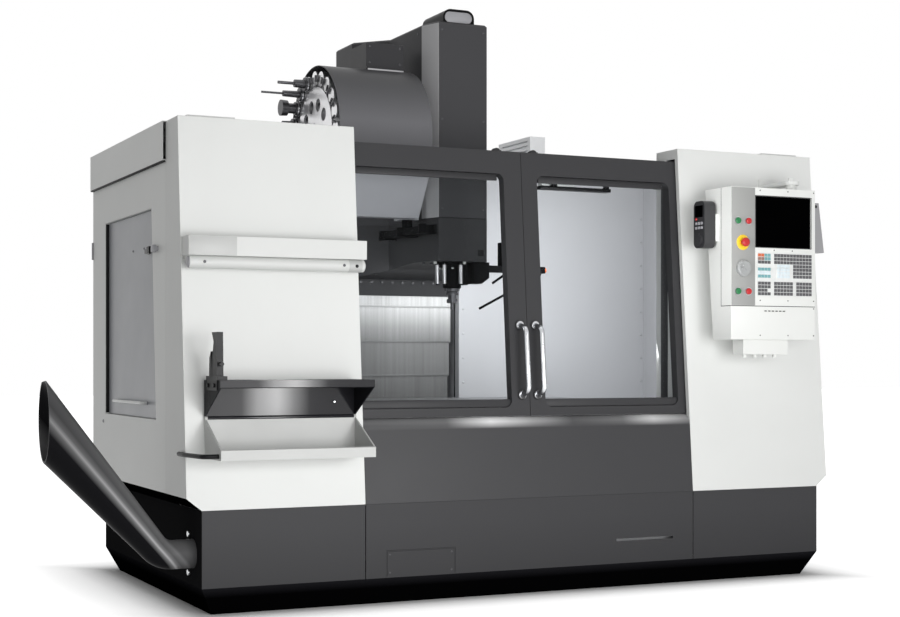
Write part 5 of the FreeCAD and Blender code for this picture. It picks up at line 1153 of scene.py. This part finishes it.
class MACHINE_OT_left_fittings(bpy.types.Operator):
    """Finish the shelf, the bin and its lid, the toolholder fixture and brackets"""
    bl_idname = "machine.left_fittings"
    bl_label = "Shelf and bin"

    def execute(self, context):
        sizes = context.scene.machine_sizes
        edge = sizes.sheet_edge
        dress("upper_shelf", "shelf", edge)
        dress("tool_tray", "tray", edge)
        dress("tray_lid", "lid", edge)
        dress("toolholder_fixture", "black", 2.0)
        dress("cover_brackets", "bracket", 1.2)
        self.shelf_parts(sizes)
        self.lid_catch()
        return {"FINISHED"}

    @staticmethod
    def shelf_parts(sizes):
        """Screws, roll caps, end sheet and sleeve of the shelf."""
        low, high = cad("upper_shelf")
        centre_z = low.z + 25.5
        centre_y = low.y + 29.5
        places = [(x, low.y + 4.5, centre_z) for x in (-1480, -895)]
        screws = each(Form.screw_head, places, FORWARD, sizes.screw)
        screws.finish("shelf_screws", "dark_steel")
        caps = Form()
        for x, axis in ((low.x + 6, LEFTWARD), (high.x - 6, RIGHTWARD)):
            profile = [(0, 0), (0, 22), (3, 22), (6, 17), (6, 0)]
            caps.lathe((x, centre_y, centre_z), axis, profile, 28)
        caps.finish("shelf_roll_caps", "guard")
        sheet = Form().block((low.x + 1, low.y - 0.6, low.z + 52), (-1350, low.y, high.z - 1), 0.4)
        sheet.finish("shelf_end_sheet", "tray")
        sleeve = Form().rod((-872, centre_y, centre_z), RIGHTWARD, 26.2, 58, 1.5, 40)
        sleeve.finish("shelf_sleeve", "tray")
        hole = Form().rod((-840, low.y + 3.4, centre_z - 2), FORWARD, 7, 2, 0.5, 20)
        hole.finish("shelf_sleeve_plug", "rubber")

    @staticmethod
    def lid_catch():
        high = cad("tray_lid")[1]
        form = Form().lathe((-930, high.y - 9, 838), FORWARD,
                            [(0, 0), (0, 6), (5, 6), (8, 3), (8, 0)], 18)
        form.finish("lid_catch", "chrome", "bin_lid")


# ---- pendant -----------------------------------------------------------------------

class MACHINE_OT_pendant(bpy.types.Operator):
    """Finish the control pendant, its screen, keys, buttons and jog unit"""
    bl_idname = "machine.pendant"
    bl_label = "Control pendant"

    def execute(self, context):
        sizes = context.scene.machine_sizes
        dress("pendant_housing", "pendant", 2.5, segments=3)
        dress("pendant_screen", "display", 0.0)
        dress("pendant_keyboard", "mat", 0.4)
        dress("emergency_stop", "red", 0.8)
        dress("jog_dial", "dial", 0.8)
        dress("jog_remote", "plastic", 3.0)
        for node in ("power_on_button", "cycle_start_button"):
            dress(node, "green", 0.6)
        for node in ("power_off_button", "feed_hold_button"):
            dress(node, "red", 0.6)
        self.front_plates()
        self.button_rings()
        self.keys(sizes)
        self.dial_rim()
        self.remote_face()
        return {"FINISHED"}

    @staticmethod
    def front_plates():
        """Display bezel, switch column, screws, dark lines at the split and up the left side,
        the card slot and the hole for the jog unit.
        """
        face = PENDANT_FACE_Y
        screen = cad("pendant_screen")
        left, right = screen[0].x + 5, screen[1].x - 5
        low, high = screen[0].z + 5, screen[1].z - 5
        bezel = Form()
        for x in (left, right - 3):
            bezel.block((x, face - 2, low), (x + 3, face, high), 0.6)
        for z in (low, high - 3):
            bezel.block((left, face - 2, z), (right, face, z + 3), 0.6)
        bezel.finish("display_bezel", "plastic", "pendant")
        column = Form().plate((865, 992), (1251, 1775), 0, face - 0.8, 0.8, 0.2)
        column.finish("switch_column", "column", "pendant")
        places = [(x, face, z) for z in (1765, 1274, 1118) for x in (1020, 1172, 1315)]
        places += [(1096, face, 1499), (1196, face, 1499), (1315, face, 1240)]
        screws = each(Form.screw_head, places, FORWARD, 3)
        screws.finish("pendant_screws", "dark_steel", "pendant")
        # painted shade: dark strips along the split, below the upper housing's overhang; the dashes
        # below are the card slot
        split_shade_and_slot = Form().block((863.5, face - 0.3, 1247.2), (1322.5, face + 1.5, 1249.8), 0.2)
        split_shade_and_slot.block((862.5, face + 2, 1247), (863.1, -984, 1250), 0.1)
        split_shade_and_slot.block((862.5, -986, 1247), (863.1, -983.5, 1775), 0.1)
        for x in spaced(1050, 1150, 6):
            split_shade_and_slot.block((x - 6, face - 0.3, 1225), (x + 6, face + 1, 1229), 0.3)
        split_shade_and_slot.finish("pendant_split_shade_and_slot", "rubber", "pendant")
        hole = Form().rod((1338, -1046.5, 1706), FORWARD, 7, 1.2, 0.3, 20)
        hole.finish("holder_hole", "rubber", "pendant")

    @staticmethod
    def button_rings():
        """Guard rings of the push buttons and the yellow disc of the stop button."""
        face = PENDANT_FACE_Y
        places = [(x, face, z) for x in (899, 955) for z in (1313, 1626)]
        profile = [(0, 15.2), (0, 19), (3.5, 18), (3.5, 15.2)]
        rings = each(Form.lathe, places, FORWARD, profile, 28)
        rings.finish("button_rings", "steel", "pendant")
        disc = Form().lathe((DIAL_X, face, 1530), FORWARD,
                            [(0, 11.6), (0, 34), (2, 34), (3, 32), (3, 11.6)], 36)
        disc.finish("stop_disc", "yellow", "pendant")

    @staticmethod
    def keys(sizes):
        """Single keys over the key field, in coloured groups."""
        low, high = cad("pendant_keyboard")
        gap = sizes.key_gap
        top = low.y
        columns, rows = 17, 12
        pitch_x = (high.x - low.x - 8) / columns
        pitch_z = (high.z - low.z - 8) / rows
        forms = {}
        for column in range(columns):
            for row in range(rows):
                kind = key_kind(column, rows - 1 - row)
                if kind is None:
                    continue
                x = low.x + 4 + column * pitch_x
                z = low.z + 4 + row * pitch_z
                form = forms.setdefault(kind, Form())
                form.block((x + gap / 2, top - 2.0, z + gap / 2),
                           (x + pitch_x - gap / 2, top, z + pitch_z - gap / 2), 0.5)
        for kind, form in forms.items():
            form.finish("keys_" + kind.replace("_key", ""), kind, "pendant", slot="keyboard")

    @staticmethod
    def dial_rim():
        """Grip ribs round the jog dial."""
        places = [(DIAL_X + x, PENDANT_FACE_Y - 13, DIAL_Z + z) for x, z in circle(24, 36)]
        each(Form.rod, places, BACKWARD, 2.0, 12, 0.4, 8).finish("dial_grips", "dial", "dial")

    @staticmethod
    def remote_face():
        """Small display, keys and stop button of the hand-held jog unit."""
        face = cad("jog_remote")[0].x + 8
        form = Form().block((face - 3, -944, 1648), (face, -886, 1700), 1.5)
        form.finish("remote_display", "display", "pendant")
        keys = Form()
        for y in (-936, -915, -894):
            for z in (1600, 1620):
                keys.block((face - 3, y - 7, z - 6), (face, y + 7, z + 6), 1.2)
        keys.finish("remote_keys", "guard", "pendant")
        stop = Form().lathe((face, -894, 1640), LEFTWARD,
                            [(0, 0), (0, 6), (4, 6), (6, 4), (6, 0)], 20)
        stop.finish("remote_stop", "red", "pendant")


def key_kind(column, row):
    """Finish of the key at a column and row counted from the top left."""
    if column == 4 or row == 7 or (column, row) == (3, 10) or (column == 11 and row > 7):
        return None
    if column > 10 or row > 7:
        return "dark_key"
    if column > 4:
        if row < 3:
            return "dark_key"
        return "pale_key" if 5 < column < 10 else None
    if row in (0, 1):
        return ("brown_key" if row else "orange_key") if column < 2 else "teal_key"
    if row > 3:
        return "pale_key" if row == 5 else "teal_key"
    return "dark_key" if row == 2 else None


# ---- rear --------------------------------------------------------------------------

class MACHINE_OT_cabinet(bpy.types.Operator):
    """Finish the electrical cabinet and its door"""
    bl_idname = "machine.cabinet"
    bl_label = "Electrical cabinet"

    def execute(self, context):
        sizes = context.scene.machine_sizes
        dress("electrical_cabinet", "cabinet", sizes.sheet_edge)
        dress("cabinet_door", "white", sizes.sheet_edge)
        low, high = cad("cabinet_door")
        louvres = Form()
        for step in range(9):
            z = low.z + 120 + step * 22
            louvres.block((low.x + 150, low.y + 19, z), (high.x - 150, low.y + 24, z + 9), 2)
        louvres.finish("cabinet_louvres", "white", "rear_door")
        lock = Form().lathe((low.x + 60, low.y + 20, 1200), BACKWARD,
                            [(0, 0), (0, 13), (5, 13), (7, 10), (7, 0)], 24)
        lock.finish("cabinet_lock", "chrome", "rear_door")
        return {"FINISHED"}


# ---- stage -------------------------------------------------------------------------

class MACHINE_OT_stage(bpy.types.Operator):
    """Add the floor, the lights and the camera"""
    bl_idname = "machine.stage"
    bl_label = "Stage"

    def execute(self, context):
        stage = context.scene.machine_stage
        self.floor()
        self.world(context.scene, stage)
        self.softbox("key_light", (-0.3, -5.4, 0.9), (-0.1, 0, 0.95), (3.4, 2.0), stage.key)
        self.softbox("top_light", (0.4, -0.6, 6.4), (0.2, 0.2, 0.0), (6.0, 5.0), stage.top)
        self.softbox("strip_light", (0.56, -5.6, 1.5), (-1.1, -0.85, 0.85), (0.30, 1.8), 15.0)
        self.softbox("liner_light", (0.6, -0.35, 1.45), (1.0, 0.56, 1.15), (0.9, 0.9), 7.0)
        self.softbox("way_light", (0.0, 0.32, 1.41), (0.0, 0.62, 1.25), (0.8, 0.15), 0.6)
        self.softbox("pendant_light", (0.35, -1.25, 1.5), (0.86, -1.02, 1.5), (0.25, 0.8), 0.7, 60)
        self.softbox("fill_light", (-1.1, -0.1, 1.6), (-0.2, 0.25, 1.6), (0.5, 0.4), 2.2)
        camera = bpy.data.cameras.new("camera")
        camera.lens = stage.lens
        camera.sensor_width = 36.0
        camera.shift_y = stage.shift
        camera.clip_end = 200.0
        view = add_object("camera", camera)
        view.location = stage.place
        view.rotation_euler = (math.pi / 2, 0.0, stage.heading)
        context.scene.camera = view
        context.scene.view_settings.view_transform = "Standard"
        return {"FINISHED"}

    @staticmethod
    def floor():
        mesh = bmesh.new()
        bmesh.ops.create_grid(mesh, x_segments=1, y_segments=1, size=40.0)
        finish = Finish("floor_paper", 0.9, 0.1)
        finish.colour(finish.mixed(finish.noise(0.8, 1.0), (0.80, 0.80, 0.80), (0.82, 0.82, 0.82)))
        beside = finish.coordinate("X").size() - SHADED_FLOOR[0]
        before = (finish.coordinate("Y") + SHADED_FORWARD).size() - SHADED_FLOOR[1]
        # the floor glows for camera and mirrored rays more the further it lies from the machine, so
        # round the machine a painted shadow lies over the real one
        far = finish.ramp(beside.larger(before),
                          [(0.0, 0.0), (0.05, 0.04), (0.12, 0.28), (0.22, 0.55), (0.40, 0.78),
                           (0.9, 1.0)])
        glow = finish.node("ShaderNodeEmission", {}, {"Strength": far * finish.backdrop_rays()})
        both = finish.node("ShaderNodeAddShader", {},
                           {0: finish.shader.outputs[0], 1: glow.outputs[0]})
        finish.link(both.outputs[0], finish.output.inputs[0])
        floor = add_mesh("floor", mesh, finish.material)

    @staticmethod
    def world(scene, stage):
        scene.world = bpy.data.worlds.new("studio")
        nodes = Nodes(scene.world)
        light, bright = (nodes.node("ShaderNodeBackground", {},
                                    {"Color": (1.0, 1.0, 1.0), "Strength": strength})
                         for strength in (stage.ambient, 1.0))
        mix = nodes.node("ShaderNodeMixShader", {}, {0: nodes.backdrop_rays(), 1: light.outputs[0],
                                                     2: bright.outputs[0]})
        nodes.node("ShaderNodeOutputWorld", {}, {0: mix.outputs[0]})

    @staticmethod
    def softbox(name, place, target, size, power, spread=180):
        light = bpy.data.lights.new(name, "AREA")
        light.spread = math.radians(spread)
        light.shape = "RECTANGLE"
        light.size, light.size_y = size
        light.energy = power
        box = add_object(name, light)
        box.location = place
        aim = Vector(target) - Vector(place)
        box.rotation_euler = aim.to_track_quat("-Z", "Y").to_euler()
        box.visible_camera = False


# ---- add-on ------------------------------------------------------------------------

OPERATORS = (
    MACHINE_OT_castings, MACHINE_OT_table, MACHINE_OT_base, MACHINE_OT_covers, MACHINE_OT_doors,
    MACHINE_OT_head, MACHINE_OT_changer, MACHINE_OT_chips, MACHINE_OT_left_fittings,
    MACHINE_OT_pendant, MACHINE_OT_cabinet, MACHINE_OT_stage,
)
SETTINGS = (("machine_paint", MachinePaint), ("machine_sizes", MachineSizes),
            ("machine_stage", MachineStage))


class MACHINE_PT_panel(bpy.types.Panel):
    """Sidebar panel with one button for each group of pieces"""
    bl_label = "Machining center"
    bl_idname = "MACHINE_PT_panel"
    bl_space_type = "VIEW_3D"
    bl_region_type = "UI"
    bl_category = "Machine"

    def draw(self, context):
        for name, group in SETTINGS:
            box = self.layout.box()
            for key in group.__annotations__:
                box.prop(getattr(context.scene, name), key)
        for operator in OPERATORS:
            self.layout.operator(operator.bl_idname)


def register():
    for _, group in SETTINGS:
        bpy.utils.register_class(group)
    for name, group in SETTINGS:
        setattr(bpy.types.Scene, name, bpy.props.PointerProperty(type=group))
    for operator in OPERATORS:
        bpy.utils.register_class(operator)
    bpy.utils.register_class(MACHINE_PT_panel)


def unregister():
    bpy.utils.unregister_class(MACHINE_PT_panel)
    for operator in reversed(OPERATORS):
        bpy.utils.unregister_class(operator)
    for name, group in SETTINGS:
        delattr(bpy.types.Scene, name)
        bpy.utils.unregister_class(group)


def main():
    register()
    mix_finishes()
    for operator in OPERATORS:
        getattr(bpy.ops.machine, operator.bl_idname.split(".")[1])()


if __name__ == "__main__":
    main()
